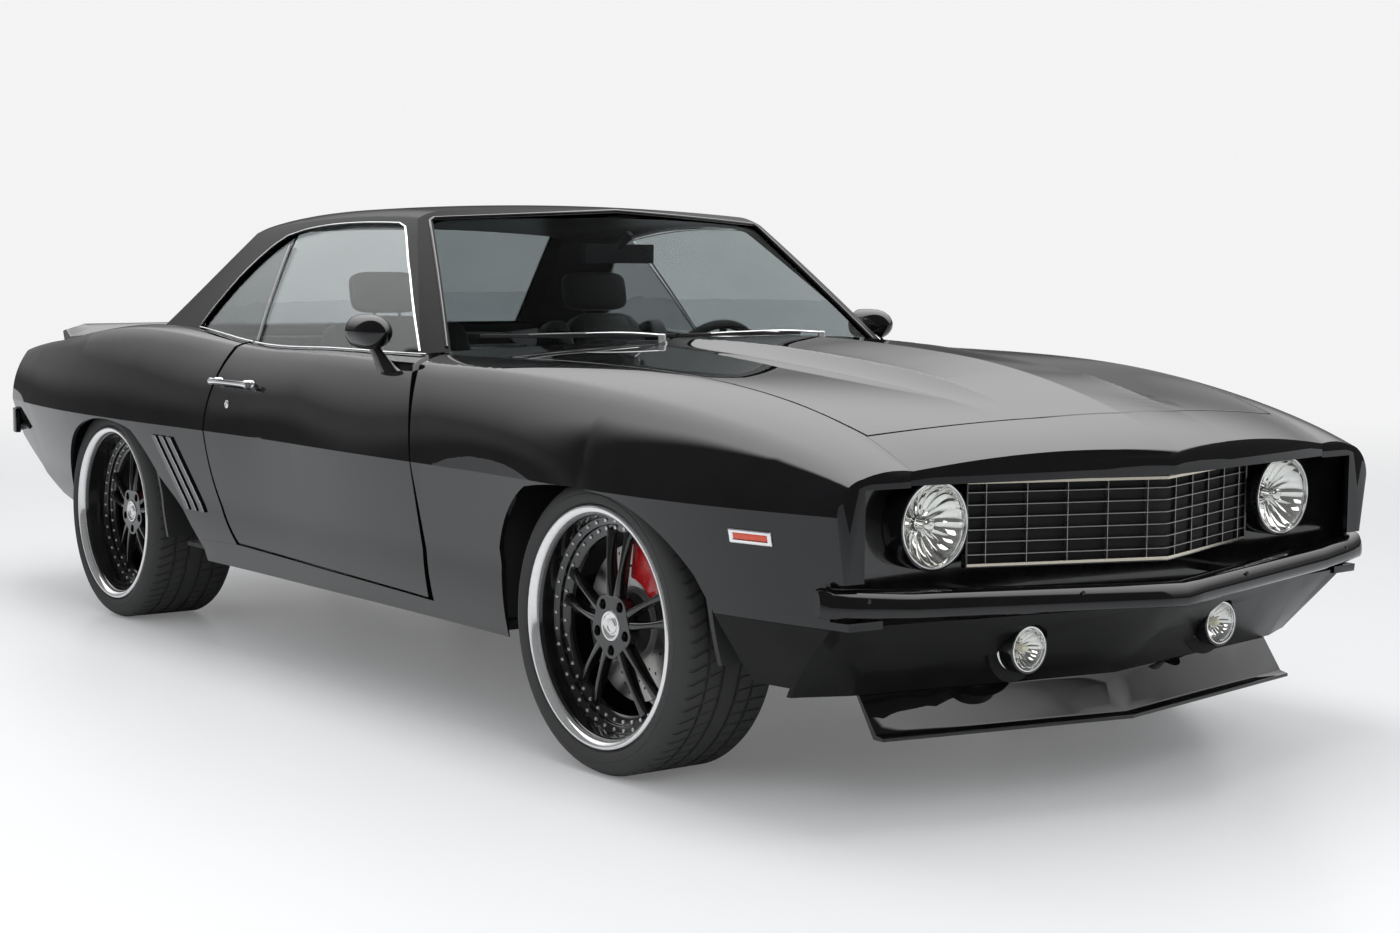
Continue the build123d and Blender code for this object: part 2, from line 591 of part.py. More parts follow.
deck_edge = [(x, at(BODY, "seam_y", x)) for x in (-300.0, -500.0) + DECK_STATIONS + (-2000.0, TAIL_X)]
deck_band = plan_prism(band_outline(deck_edge, 0), 600, 1000)
tail_zone = block((TAIL_X, -TAIL_OPENING_Y, 300), (BOOT_REAR_X - SHUT_GAP, TAIL_OPENING_Y, 1000))
under_tail = block((TAIL_X, -TAIL_OPENING_Y, 200), (-1600, TAIL_OPENING_Y, 600))
quarter_zone = block((TAIL_X, -1000, SILL_Z - 1), (DOOR_REAR_LOW[0] + 40, 1000, 1000))
with BuildPart() as quarters:
    add(skin.part)
    add(quarter_zone, mode=Mode.INTERSECT)
    add(deck_band, mode=Mode.SUBTRACT)
    add(door_opening, mode=Mode.SUBTRACT)
    add(sill_zone, mode=Mode.SUBTRACT)
    add(rear_arches, mode=Mode.SUBTRACT)
    add(tail_zone, mode=Mode.SUBTRACT)
    add(under_tail, mode=Mode.SUBTRACT)

# --- tail ---------------------------------------------------------------------------------
tulip_edge = [(x, at(BODY, "seam_y", x)) for x in (-500.0,) + DECK_STATIONS + (BOOT_FRONT_X,)]
tulip_zone = plan_prism(band_outline(tulip_edge, SEAM), 700, 1000)
boot_edge = [(x, at(BODY, "seam_y", x)) for x in (BOOT_FRONT_X - SHUT_GAP, -2000.0, BOOT_REAR_X)]
boot_zone = plan_prism(band_outline(boot_edge, SHUT_GAP), 780, 1000)
tail_keep = block((TAIL_X, -TAIL_OPENING_Y + SEAM, 300),
                  (BOOT_REAR_X - SHUT_GAP - SEAM, TAIL_OPENING_Y - SEAM, 1000))
valance_keep = block((TAIL_X, -TAIL_OPENING_Y + SEAM, 300),
                     (REAR_VALANCE_X, TAIL_OPENING_Y - SEAM, 600))
with BuildPart() as tail_area:
    add(tail_keep)
    add(valance_keep)
with BuildPart() as deck_panel:
    add(skin.part)
    add(tulip_zone, mode=Mode.INTERSECT)
with BuildPart() as boot_lid:
    add(skin.part)
    add(boot_zone, mode=Mode.INTERSECT)
with BuildPart() as tail_panel:
    add(skin.part)
    add(tail_area.part, mode=Mode.INTERSECT)
    for y in (-BOOT_STOP_Y, BOOT_STOP_Y):
        with Locations((BOOT_STOP_X, y, BOOT_STOP_Z)):
            Box(2 * (BOOT_STOP_X + 2264.0), 40, 400)
    add(liner_hull, mode=Mode.INTERSECT)

# --- roof, screens and side glass ---------------------------------------------------------
screen_hole = [(y, z) for y, z in SCREEN_OPENING] + [(-y, z) for y, z in SCREEN_OPENING[-2::-1]]
back_hole = [(y, z) for y, z in BACKLIGHT_OPENING]
back_hole += [(-y, z) for y, z in BACKLIGHT_OPENING[-2::-1]]
screen_prism = front_prism(screen_hole, 0, 1000)
backlight_prism = front_prism(back_hole, -1600, -780)
side_window = window_prism(0, None, None)
behind_screens = loft_screens(SCREEN_CUT_DEPTH)
with BuildPart() as screen_cut:
    add(screen_prism)
    add(backlight_prism)
    add(behind_screens, mode=Mode.SUBTRACT)
with BuildPart() as roof:
    add(house_outer)
    add(house_inner, mode=Mode.SUBTRACT)
    add(clear_hull, mode=Mode.SUBTRACT)
    add(side_window, mode=Mode.SUBTRACT)
    add(screen_cut.part, mode=Mode.SUBTRACT)

glass_outer = glasshouse(GLASS_SET)
glass_inner = glasshouse(GLASS_SET + GLASS)
with BuildPart() as glass_shell:
    add(glass_outer)
    add(glass_inner, mode=Mode.SUBTRACT)
    add(clear_hull, mode=Mode.SUBTRACT)


def shrunk(points, by):
    """Half outline of a screen, smaller by a seam all round."""
    half = [(points[0][0] - by, points[0][1]), (points[1][0] - by, points[1][1])]
    half += [(points[2][0] - by, points[2][1] - by), (points[3][0], points[3][1] - by)]
    return half + [(-y, z) for y, z in half[-2::-1]]


screen_pane = front_prism(shrunk(SCREEN_OPENING, SEAM), 0, 1000)
backlight_pane = front_prism(shrunk(BACKLIGHT_OPENING, SEAM), -1600, -780)
rear_pane = window_prism(SEAM, 4.0, None)
front_pane = window_prism(SHUT_GAP, None, 4.0)
left_half = block((-3000, 0, -10), (3000, 1100, 2000))
with BuildPart() as windscreen:
    add(glass_shell.part)
    add(screen_pane, mode=Mode.INTERSECT)
    add(behind_screens, mode=Mode.SUBTRACT)
with BuildPart() as rear_window:
    add(glass_shell.part)
    add(backlight_pane, mode=Mode.INTERSECT)
    add(behind_screens, mode=Mode.SUBTRACT)
with BuildPart() as quarter_glass:
    add(glass_shell.part)
    add(rear_pane, mode=Mode.INTERSECT)
with BuildPart() as door_glass_left:
    add(glass_shell.part)
    add(front_pane, mode=Mode.INTERSECT)
    add(left_half, mode=Mode.INTERSECT)

# --- underbody and cabin structure --------------------------------------------------------
def housing(low_x, high_x, wall_y):
    """Left wheel housing: inner wall, two end walls and a roof, open outwards and below."""
    with BuildPart() as shell:
        add(block((low_x, wall_y, HOUSING_LOW_Z), (high_x, 1000, HOUSING_TOP_Z)))
        add(block((low_x + SHEET, wall_y + SHEET, HOUSING_LOW_Z - 1),
                  (high_x - SHEET, 1001, HOUSING_TOP_Z - SHEET)), mode=Mode.SUBTRACT)
        add(liner_hull, mode=Mode.INTERSECT)
    return shell.part


with BuildPart() as wheel_housings:
    for low_x, high_x, wall_y in (FRONT_HOUSING, REAR_HOUSING):
        add(housing(low_x, high_x, wall_y))
    for axle_x, wall_y in ((FRONT_AXLE_X, FRONT_HOUSING[2]), (REAR_AXLE_X, REAR_HOUSING[2])):
        add(block((axle_x - ARM_WINDOW, wall_y - 1, 200), (axle_x + ARM_WINDOW, wall_y + 13, 500)),
            mode=Mode.SUBTRACT)
    for x, y in BONNET_STOPS:
        with Locations((x, y, HOUSING_TOP_Z + 150)):
            Cylinder(STOP_RADIUS, 300)
    add(liner_hull, mode=Mode.INTERSECT)
    mirror(about=Plane.XZ)

with BuildPart() as floor_pan:
    add(block((BULKHEAD_X, -FLOOR_HALF, FLOOR_Z), (FIREWALL_X, FLOOR_HALF, FLOOR_Z + FLOOR_PLATE)))
    add(block((BULKHEAD_X, -TUNNEL_HALF, FLOOR_Z),
              (FIREWALL_X, TUNNEL_HALF, FLOOR_Z + TUNNEL_HEIGHT)))
    add(block((BULKHEAD_X - 1, 12 - TUNNEL_HALF, FLOOR_Z - 1),
              (FIREWALL_X + 1, TUNNEL_HALF - 12, FLOOR_Z + TUNNEL_HEIGHT - 12)), mode=Mode.SUBTRACT)
    add(block((FIREWALL_X, -FLOOR_HALF, FLOOR_Z),
              (FIREWALL_X + FLOOR_PLATE, FLOOR_HALF, FIREWALL_TOP_Z)))
    add(block((FIREWALL_X, -1000, SILL_BEAM_TOP_Z + SEAM),
              (FIREWALL_X + FLOOR_PLATE, 1000, FIREWALL_TOP_Z)))
    add(block((BULKHEAD_X, -BOOT_HALF, FLOOR_Z),
              (BULKHEAD_X + FLOOR_PLATE, BOOT_HALF, BOOT_FLOOR_Z)))
    add(block((SHELF_X, -BOOT_HALF, BOOT_FLOOR_Z), (BULKHEAD_X + FLOOR_PLATE, BOOT_HALF,
                                                   BOOT_FLOOR_Z + FLOOR_PLATE)))
    add(block((BOOT_END_X, -BOOT_HALF, BOOT_FLOOR_Z), (SHELF_X, BOOT_HALF,
                                                      BOOT_FLOOR_Z + FLOOR_PLATE)))
    add(block((SHELF_X, -BOOT_HALF, BOOT_FLOOR_Z), (SHELF_X + FLOOR_PLATE, BOOT_HALF,
                                                   SHELF_Z + FLOOR_PLATE)))
    add(block((SHELF_REAR_X, -BOOT_HALF, SHELF_Z), (SHELF_X + FLOOR_PLATE, BOOT_HALF,
                                                   SHELF_Z + FLOOR_PLATE)))
    for x, y in JACK_PADS:
        for side in (1, -1):
            with Locations((x, side * y, FLOOR_Z)):
                Box(JACK_PAD_LENGTH, JACK_PAD_WIDTH, 2 * JACK_PAD_HEIGHT)
    add(liner_hull, mode=Mode.INTERSECT)

with BuildPart() as sill_beams:
    add(block((SILL_BEAM_REAR_X, FLOOR_HALF + SEAM, FLOOR_Z + 6),
              (FRONT_HOUSING[0] - 2, 1000, SILL_BEAM_TOP_Z)))
    add(block((HINGE_POST_X, FLOOR_HALF + SEAM, FLOOR_Z + 6),
              (FIREWALL_X - SEAM, HINGE_POST_Y, HINGE_POST_TOP_Z)))
    for z in (HINGE_Z - HINGE_HALF - 16, HINGE_Z + HINGE_HALF + 4):
        add(block((HINGE_X - 11, HINGE_Y - 11, z), (HINGE_POST_X + 1, HINGE_Y + 6, z + 12)))
        add(block((HINGE_POST_X, HINGE_POST_Y - 1, z), (HINGE_POST_X + 30, HINGE_Y + 6, z + 12)))
    with Locations((HINGE_X, HINGE_Y, HINGE_Z)):
        Cylinder(HINGE_PIN, 2 * HINGE_HALF + 12)
    add(liner_hull, mode=Mode.INTERSECT)
    mirror(about=Plane.XZ)

# --- doors --------------------------------------------------------------------------------
door_inner = loft_body(DOOR_DEPTH)
door_keep = door_prism(SHUT_GAP, DOOR_FRONT_BEVEL, DOOR_REAR_BEVEL)
door_band = block((-700, DOOR_INNER_Y, 200), (800, 1000, 1000))
with BuildPart() as door_left:
    add(outer)
    add(door_inner, mode=Mode.SUBTRACT)
    add(door_keep, mode=Mode.INTERSECT)
    add(door_band, mode=Mode.INTERSECT)
    with BuildSketch(Plane.XY.offset(HINGE_Z - HINGE_HALF)):
        with BuildLine():
            Polyline(*[(HINGE_X + x, HINGE_Y + y) for x, y in HINGE_ARM], close=True)
        make_face()
    extrude(amount=HINGE_HALF + HINGE_ARM_TOP)
    with Locations((HINGE_X, HINGE_Y, HINGE_Z)):
        Cylinder(HINGE_BARREL, 2 * HINGE_HALF)
        Cylinder(HINGE_PIN + SEAM, 4 * HINGE_HALF, mode=Mode.SUBTRACT)
    with Locations((HANDLE_X, HANDLE_Y, HANDLE_Z)):
        Box(HANDLE_LENGTH, HANDLE_THICK, HANDLE_HEIGHT)
    for x in (HANDLE_X - HANDLE_LENGTH / 2 + 32, HANDLE_X + HANDLE_LENGTH / 2 - 32):
        with Locations((x, HANDLE_Y - 24, HANDLE_Z)):
            Box(20, 50, HANDLE_HEIGHT)
with BuildPart() as door_right:
    add(door_left.part)
    mirror(about=Plane.XZ, mode=Mode.REPLACE)
with BuildPart() as door_glass_right:
    add(door_glass_left.part)
    mirror(about=Plane.XZ, mode=Mode.REPLACE)

with BuildPart() as mirror_left:
    with BuildSketch(Plane(origin=(MIRROR_X, MIRROR_Y, MIRROR_Z), x_dir=(1, 0, 0), z_dir=(0, -1, 0))):
        with BuildLine():
            Polyline((MIRROR_NOSE, 9), (MIRROR_NOSE, 0), (-MIRROR_TAIL, 0),
                     (-MIRROR_TAIL, MIRROR_RADIUS - 4))
            ThreePointArc((-MIRROR_TAIL, MIRROR_RADIUS - 4), (0, MIRROR_RADIUS - 1),
                          (MIRROR_NOSE * 0.72, MIRROR_RADIUS * 0.66))
            ThreePointArc((MIRROR_NOSE * 0.72, MIRROR_RADIUS * 0.66),
                          (MIRROR_NOSE * 0.93, MIRROR_RADIUS * 0.42), (MIRROR_NOSE, 9))
        make_face()
    revolve(axis=Axis((MIRROR_X, MIRROR_Y, MIRROR_Z), (1, 0, 0)))
    with BuildSketch(Plane.XZ.offset(-MIRROR_Y + 12)):
        Polygon(*MIRROR_FOOT, align=None)
    extrude(amount=-24)
    add(clear_hull, mode=Mode.SUBTRACT)
with BuildPart() as mirror_right:
    add(mirror_left.part)
    mirror(about=Plane.XZ, mode=Mode.REPLACE)

# --- wheels, discs and tyres, made on the right and mirrored ------------------------------
def wheel_plane(axle, depth):
    """Plane across the right wheel, depth inwards from the tyre's outer side."""
    return Plane(origin=(axle.x, depth - axle.outer_y, TYRE_RADIUS),
                 x_dir=(1, 0, 0), z_dir=(0, -1, 0))


def turned(axle, profile):
    """Solid of revolution about the axle on a (radius, depth) outline."""
    plane = Plane(origin=(axle.x, -axle.outer_y, TYRE_RADIUS), x_dir=(0, 0, 1), z_dir=(-1, 0, 0))
    with BuildPart() as solid:
        with BuildSketch(plane):
            Polygon(*profile, align=None)
        revolve(axis=Axis((axle.x, 0, TYRE_RADIUS), (0, 1, 0)))
    return solid.part


def caliper(axle):
    """Brake caliper straddling the disc, ahead of and above the axle."""
    near, mid, far = (
        Vector(CALIPER_IN, 0).rotate(Axis.Z, CALIPER_ANGLE + turn)
        for turn in (-CALIPER_SPAN, 0, CALIPER_SPAN)
    )
    scale = CALIPER_OUT / CALIPER_IN
    with BuildPart() as brake:
        with BuildSketch(wheel_plane(axle, axle.hub + CALIPER_DEPTH)):
            with BuildLine():
                ThreePointArc(near, mid, far)
                Line(far, far * scale)
                ThreePointArc(far * scale, mid * scale, near * scale)
                Line(near * scale, near)
            make_face()
        extrude(amount=-CALIPER_WIDTH)
        with BuildSketch(wheel_plane(axle, axle.hub + DISC_DEPTH - DISC_CLEAR)):
            Circle(DISC_RADIUS + DISC_CLEAR)
        extrude(amount=-(DISC_WIDTH + 2 * DISC_CLEAR), mode=Mode.SUBTRACT)
    return brake.part


wheel_parts = {}
for axle in AXLES:
    hub = axle.hub
    ring = hub + SPOKE_DEPTH
    rim = turned(axle, (
        (RIM_RADIUS, 7), (268, 3), (262, 7), (246, ring - 8), (212, ring), (204, ring + 3),
        (204, ring + 14), (240, ring + 14), (240, axle.width - 30), (262, axle.width - 9),
        (RIM_RADIUS, axle.width - 11), (RIM_RADIUS, axle.width - 15),
        (BEAD_RADIUS, axle.width - 30), (BEAD_RADIUS, 28), (RIM_RADIUS, 15),
    ))
    tyre = turned(axle, (
        (BEAD_RADIUS + SEAM, 28.4), (RIM_RADIUS + SEAM, 15.4), (284, 3), (300, 0), (318, 6),
        (331, 22), (TYRE_RADIUS, 34), (TYRE_RADIUS, axle.width - 34), (331, axle.width - 22),
        (318, axle.width - 6), (300, axle.width), (284, axle.width - 3),
        (RIM_RADIUS + SEAM, axle.width - 15.4), (BEAD_RADIUS + SEAM, axle.width - 30.4),
        (BEAD_RADIUS + SEAM, axle.width - 42), (302, axle.width - 20), (322, axle.width - 40),
        (322, 40), (302, 20), (BEAD_RADIUS + SEAM, 42),
    ))
    with BuildPart() as wheel:
        add(rim)
        with BuildSketch(wheel_plane(axle, hub + 4)):
            for arm in range(SPOKES):
                for lean in (-SPOKE_SPREAD, SPOKE_SPREAD):
                    with PolarLocations(SPOKE_MIDDLE, 1, start_angle=90 + arm * 360 / SPOKES + lean):
                        Rectangle(SPOKE_LENGTH, SPOKE_WIDTH)
            Circle(HAT_RADIUS)
        extrude(amount=-SPOKE_DEPTH)
        with BuildSketch(wheel_plane(axle, hub)):
            Circle(CAP_RADIUS)
        extrude(amount=-8)
        with BuildSketch(wheel_plane(axle, hub + 3)):
            with PolarLocations(LUG_CIRCLE, SPOKES, start_angle=90 + 180 / SPOKES):
                Circle(LUG_RADIUS)
        extrude(amount=-18, mode=Mode.SUBTRACT)
        with BuildSketch(wheel_plane(axle, hub + 20)):
            Circle(HAT_RADIUS)
        extrude(amount=-(DISC_DEPTH + DISC_WIDTH - 20))
        with BuildSketch(wheel_plane(axle, hub + DISC_DEPTH)):
            Circle(DISC_RADIUS)
        extrude(amount=-DISC_WIDTH)
        with BuildSketch(wheel_plane(axle, hub + DISC_DEPTH + DISC_WIDTH)):
            Circle(SPINDLE_RADIUS + SEAM)
        extrude(amount=SPINDLE_LENGTH + SEAM, mode=Mode.SUBTRACT)
    for side in ("right", "left"):
        with BuildPart() as wheel_side:
            add(wheel.part)
            if side == "left":
                mirror(about=Plane.XZ, mode=Mode.REPLACE)
        with BuildPart() as tyre_side:
            add(tyre)
            if side == "left":
                mirror(about=Plane.XZ, mode=Mode.REPLACE)
        wheel_parts[f"wheel_{axle.name}_{side}"] = wheel_side
        wheel_parts[f"tyre_{axle.name}_{side}"] = tyre_side

front_axle, back_axle = AXLES
front_inner_y = front_axle.outer_y - front_axle.hub - DISC_DEPTH - DISC_WIDTH
back_inner_y = back_axle.outer_y - back_axle.hub - DISC_DEPTH - DISC_WIDTH
front_brake = caliper(front_axle)
back_brake = caliper(back_axle)
with BuildPart() as knuckle_right:
    add(block((FRONT_AXLE_X - 32, KNUCKLE_GAP - front_inner_y, TYRE_RADIUS - BALL_RISE),
              (FRONT_AXLE_X + 32, 46 - front_inner_y, TYRE_RADIUS + BALL_RISE)))
    add(block((FRONT_AXLE_X - 20, KNUCKLE_GAP - front_inner_y, TYRE_RADIUS - 20),
              (FRONT_AXLE_X + 130, 40 - front_inner_y, TYRE_RADIUS + BALL_RISE - 10)))
    add(block((FRONT_AXLE_X + 78, KNUCKLE_GAP - front_inner_y, TYRE_RADIUS - 20),
              (FRONT_AXLE_X + 130, 40 - front_inner_y, TYRE_RADIUS + 150)))
    with BuildSketch(wheel_plane(front_axle, front_axle.outer_y - front_inner_y + 20)):
        Circle(SPINDLE_RADIUS)
    extrude(amount=SPINDLE_LENGTH + 20)
    add(front_brake)
with BuildPart() as knuckle_left:
    add(knuckle_right.part)
    mirror(about=Plane.XZ, mode=Mode.REPLACE)

# --- suspension, engine and running gear --------------------------------------------------
arm_end_y = front_inner_y - KNUCKLE_GAP - ARM_TIP_Y + 5
with BuildPart() as front_subframe:
    add(block((FIREWALL_X + 20, RAIL_Y - 40, 300), (RAIL_FRONT_X, RAIL_Y + 40, 400)))
    add(block((FRONT_AXLE_X - 70, -1, 225), (FRONT_AXLE_X + 70, RAIL_Y + 40, 300)))
    add(block((RAIL_FRONT_X - 60, -1, 330), (RAIL_FRONT_X, RAIL_Y, 400)))
    add(block((FIREWALL_X + FLOOR_PLATE + SEAM, RAIL_Y - 40, 300), (FIREWALL_X + 21, RAIL_Y + 40, 400)))
    for low_z, spread in ((TYRE_RADIUS - BALL_RISE - ARM_THICK - SEAM, LOWER_ARM),
                          (TYRE_RADIUS + BALL_RISE + SEAM, UPPER_ARM)):
        add(plan_prism(((FRONT_AXLE_X - spread, RAIL_Y + 20), (FRONT_AXLE_X + spread, RAIL_Y + 20),
                        (FRONT_AXLE_X + ARM_TIP, arm_end_y), (FRONT_AXLE_X - ARM_TIP, arm_end_y)),
                       low_z, low_z + ARM_THICK))
    add(block((FRONT_AXLE_X - 80, RAIL_Y - 40, 395), (FRONT_AXLE_X + 80, RAIL_Y + 40, 456)))
    mirror(about=Plane.XZ)
with BuildPart() as engine_block:
    add(block((1000, -210, 400 + SEAM), (1640, 210, 740)))
    add(block((1060, -330, 560), (1580, 330, 700)))
    add(block((FIREWALL_X + FLOOR_PLATE + SEAM, -130, 380), (1000, 130, 620)))
    add(block((1200, -RAIL_Y + 10, 400 + SEAM), (1280, RAIL_Y - 10, 440)))
with BuildPart() as rear_axle:
    with BuildSketch(Plane.XZ.offset(-back_inner_y)):
        with Locations((REAR_AXLE_X, TYRE_RADIUS)):
            Circle(38)
    extrude(amount=2 * back_inner_y)
    with Locations((REAR_AXLE_X, 0, TYRE_RADIUS)):
        Sphere(DIFF_RADIUS)
    with BuildSketch(Plane.XZ.offset(-back_inner_y - SPINDLE_LENGTH)):
        with Locations((REAR_AXLE_X, TYRE_RADIUS)):
            Circle(SPINDLE_RADIUS)
    extrude(amount=2 * (back_inner_y + SPINDLE_LENGTH))
    for side in (1, -1):
        add(block((REAR_AXLE_X - 750, side * SPRING_Y - 32, BOOT_FLOOR_Z - 30),
                  (REAR_AXLE_X + 350, side * SPRING_Y + 32, BOOT_FLOOR_Z - SEAM)))
        add(block((REAR_AXLE_X - 50, side * SPRING_Y - 40, TYRE_RADIUS - 50),
                  (REAR_AXLE_X + 50, side * SPRING_Y + 40, BOOT_FLOOR_Z - 28)))
        add(block((REAR_AXLE_X - 20, side * CARRIER_Y - 35, TYRE_RADIUS - 20),
                  (REAR_AXLE_X + 140, side * CARRIER_Y + 35, TYRE_RADIUS + 150)))
    add(back_brake)
    add(back_brake.mirror(Plane.XZ))

# --- nose ---------------------------------------------------------------------------------
def valance_wedge(inset):
    """Nose of the valance: a V in plan that runs back towards its foot."""
    with BuildPart() as wedge:
        for z, corners in ((VALANCE_LOW_Z, VALANCE_LOW), (WING_SEAM_Z, VALANCE_HIGH)):
            half = [(x - inset, y) for x, y in corners]
            with BuildSketch(Plane.XY.offset(z)):
                Polygon(*([(1500, 1000)] + half[::-1] + [(x, -y) for x, y in half[1:]]
                          + [(1500, -1000)]), align=None)
        loft(ruled=True)
    return wedge.part


wedge_outer = valance_wedge(0)
wedge_inner = valance_wedge(SHEET)
with BuildPart() as valance_hollow:
    add(raw_inner)
    add(wedge_inner, mode=Mode.INTERSECT)
valance_side = block((WING_SEAM_X, -1000, VALANCE_LOW_Z), (NOSE_X, 1000, WING_SEAM_Z - SEAM))
with BuildPart() as front_valance:
    add(raw_outer)
    add(wedge_outer, mode=Mode.INTERSECT)
    add(valance_hollow.part, mode=Mode.SUBTRACT)
    add(valance_side, mode=Mode.INTERSECT)
    add(front_arches, mode=Mode.SUBTRACT)
    for y in (-FOG_Y, FOG_Y):
        with Locations((FOG_X, y, FOG_Z)):
            Cylinder(FOG_RADIUS + SEAM, 300, rotation=(0, 90, 0), mode=Mode.SUBTRACT)

lamp_wall = block((PANEL_X - PANEL_DEPTH, -1000, 432), (PANEL_X, 1000, 740))
with BuildPart() as lamp_panel:
    add(lamp_wall)
    add(liner_hull, mode=Mode.INTERSECT)

grille_end = (GRILLE_X - GRILLE_SLOPE * GRILLE_HALF, GRILLE_HALF)
grille_length = math.hypot(GRILLE_SLOPE * GRILLE_HALF, GRILLE_HALF)
grille_mid = (GRILLE_LOW_Z + GRILLE_HIGH_Z) / 2
grille_height = GRILLE_HIGH_Z - GRILLE_LOW_Z
grille_plane = Plane(origin=(GRILLE_X, 0, grille_mid), x_dir=(-GRILLE_SLOPE, 1, 0),
                     z_dir=(1, GRILLE_SLOPE, 0))
with BuildPart() as grille:
    with BuildSketch(grille_plane):
        with Locations((grille_length / 2, 0)):
            Rectangle(grille_length, grille_height)
            Rectangle(grille_length - 2 * GRILLE_FRAME, grille_height - 2 * GRILLE_FRAME,
                      mode=Mode.SUBTRACT)
        for row in range(1, GRILLE_ROWS):
            with Locations((grille_length / 2, grille_height * (row / GRILLE_ROWS - 0.5))):
                Rectangle(grille_length - 4, GRILLE_BAR)
        for column in range(0, GRILLE_COLUMNS):
            with Locations((grille_length * column / GRILLE_COLUMNS, 0)):
                Rectangle(GRILLE_BAR if column else 2 * GRILLE_FRAME, grille_height - 4)
    extrude(amount=-GRILLE_DEPTH)
    add(block((PANEL_X + SEAM, GRILLE_HALF - 6, GRILLE_LOW_Z + 4),
              (grille_end[0] - 2, GRILLE_HALF, GRILLE_HIGH_Z - 4)))
    split(bisect_by=Plane.XZ, keep=Keep.BOTTOM)
    mirror(about=Plane.XZ)

with BuildPart() as headlamps:
    for y in (-LAMP_Y, LAMP_Y):
        with BuildSketch(Plane(origin=(0, y, LAMP_Z), x_dir=(1, 0, 0), z_dir=(0, -1, 0))):
            with BuildLine():
                Polyline((LAMP_X + 12, 12), (LAMP_X + 12, 0), (PANEL_X + SEAM, 0),
                         (PANEL_X + SEAM, LAMP_RADIUS - 4), (LAMP_X, LAMP_RADIUS),
                         (LAMP_X, LAMP_RADIUS - 8))
                ThreePointArc((LAMP_X, LAMP_RADIUS - 8), (LAMP_X + 9, LAMP_RADIUS / 2),
                              (LAMP_X + 12, 12))
            make_face()
        revolve(axis=Axis((0, y, LAMP_Z), (1, 0, 0)))
with BuildPart() as fog_lamps:
    for y in (-FOG_Y, FOG_Y):
        with Locations((FOG_X - FOG_DEPTH / 2, y, FOG_Z)):
            Cylinder(FOG_RADIUS, FOG_DEPTH, rotation=(0, 90, 0))

with BuildPart() as front_bumper:
    for y, front, back, low, high in FRONT_BUMPER:
        with BuildSketch(Plane.XZ.offset(-y)):
            Polygon((back, low), (front - 12, low), (front, low + 12), (front, high - 12),
                    (front - 12, high), (back, high), align=None)
    loft(ruled=True)
    add(block((PANEL_X + SEAM, BRACKET_Y - 20, 442), (2262, BRACKET_Y + 20, 462)))
    mirror(about=Plane.XZ)

with BuildPart() as chin_spoiler:
    for y, top_x, low_x, low_z in CHIN_ROWS:
        top_z = SILL_Z - SEAM
        with BuildSketch(Plane.XZ.offset(-y)):
            Polygon((top_x - 12, top_z), (top_x, top_z), (low_x, low_z + 8), (low_x + 22, low_z + 4),
                    (low_x + 22, low_z - 4), (low_x - 10, low_z - 4), align=None)
    loft(ruled=True)
    mirror(about=Plane.XZ)

with BuildPart() as side_markers:
    add(block((MARKER_X - 55, 850, MARKER_Z - 14), (MARKER_X + 55, MARKER_OUT_Y, MARKER_Z + 14)))
    add(clear_hull, mode=Mode.SUBTRACT)
    mirror(about=Plane.XZ)

raised_hull = loft_body(-GILL_RAISE)
with BuildPart() as side_gills:
    for bar in range(GILL_BARS):
        low = GILL_LOW_X + bar * GILL_PITCH
        high = GILL_HIGH_X + bar * GILL_PITCH
        add(side_prism(((low, GILL_LOW_Z), (low + GILL_WIDTH, GILL_LOW_Z),
                        (high + GILL_WIDTH, GILL_HIGH_Z), (high, GILL_HIGH_Z)), 800, 1000))
    add(raised_hull, mode=Mode.INTERSECT)
    add(clear_hull, mode=Mode.SUBTRACT)
    mirror(about=Plane.XZ)

# --- tail pieces --------------------------------------------------------------------------
tail_clear = trimmed(loft_body(-SEAM), -SEAM)
with BuildPart() as tail_lamps:
    add(side_prism(((-2312, LAMP_TAIL[2]), (-2285, LAMP_TAIL[3]), (-2240, LAMP_TAIL[3]),
                    (-2270, LAMP_TAIL[2])), LAMP_TAIL[0], LAMP_TAIL[1]))
    add(tail_clear, mode=Mode.SUBTRACT)
    mirror(about=Plane.XZ)
with BuildPart() as rear_bumper:
    with BuildSketch(Plane.XY.offset(REAR_BUMPER_LOW)):
        with BuildLine():
            ThreePointArc((TAIL_X, 0), (-2349.7, 380), (-2318, 720))
            ThreePointArc((-2318, 720), (-2276, 808), (-2170, 852))
            Line((-2170, 852), (-2170, 834))
            ThreePointArc((-2170, 834), (-2262, 790), (-2296, 706))
            ThreePointArc((-2296, 706), (-2320.6, 370), (-2330, 0))
            Line((-2330, 0), (TAIL_X, 0))
        make_face()
    extrude(amount=REAR_BUMPER_HIGH - REAR_BUMPER_LOW)
    add(block((-2332, BRACKET_Y - 30, REAR_BUMPER_LOW + 25), (-2280, BRACKET_Y + 30,
                                                             REAR_BUMPER_HIGH - 25)))
    mirror(about=Plane.XZ)
    add(tail_clear, mode=Mode.SUBTRACT)
with BuildPart() as rear_spoiler:
    for y, lead, top_z, tail in SPOILER_ROWS:
        with BuildSketch(Plane.XZ.offset(-y)):
            Polygon((lead, 820), (lead, 872), (lead - 90, top_z - 24), (tail + 28, top_z),
                    (tail, top_z - 6), (tail + 4, top_z - 18), (BOOT_REAR_X - 14, 866),
                    (BOOT_REAR_X + 6, 820), align=None)
    loft(ruled=True)
    mirror(about=Plane.XZ)
    add(clear_hull, mode=Mode.SUBTRACT)

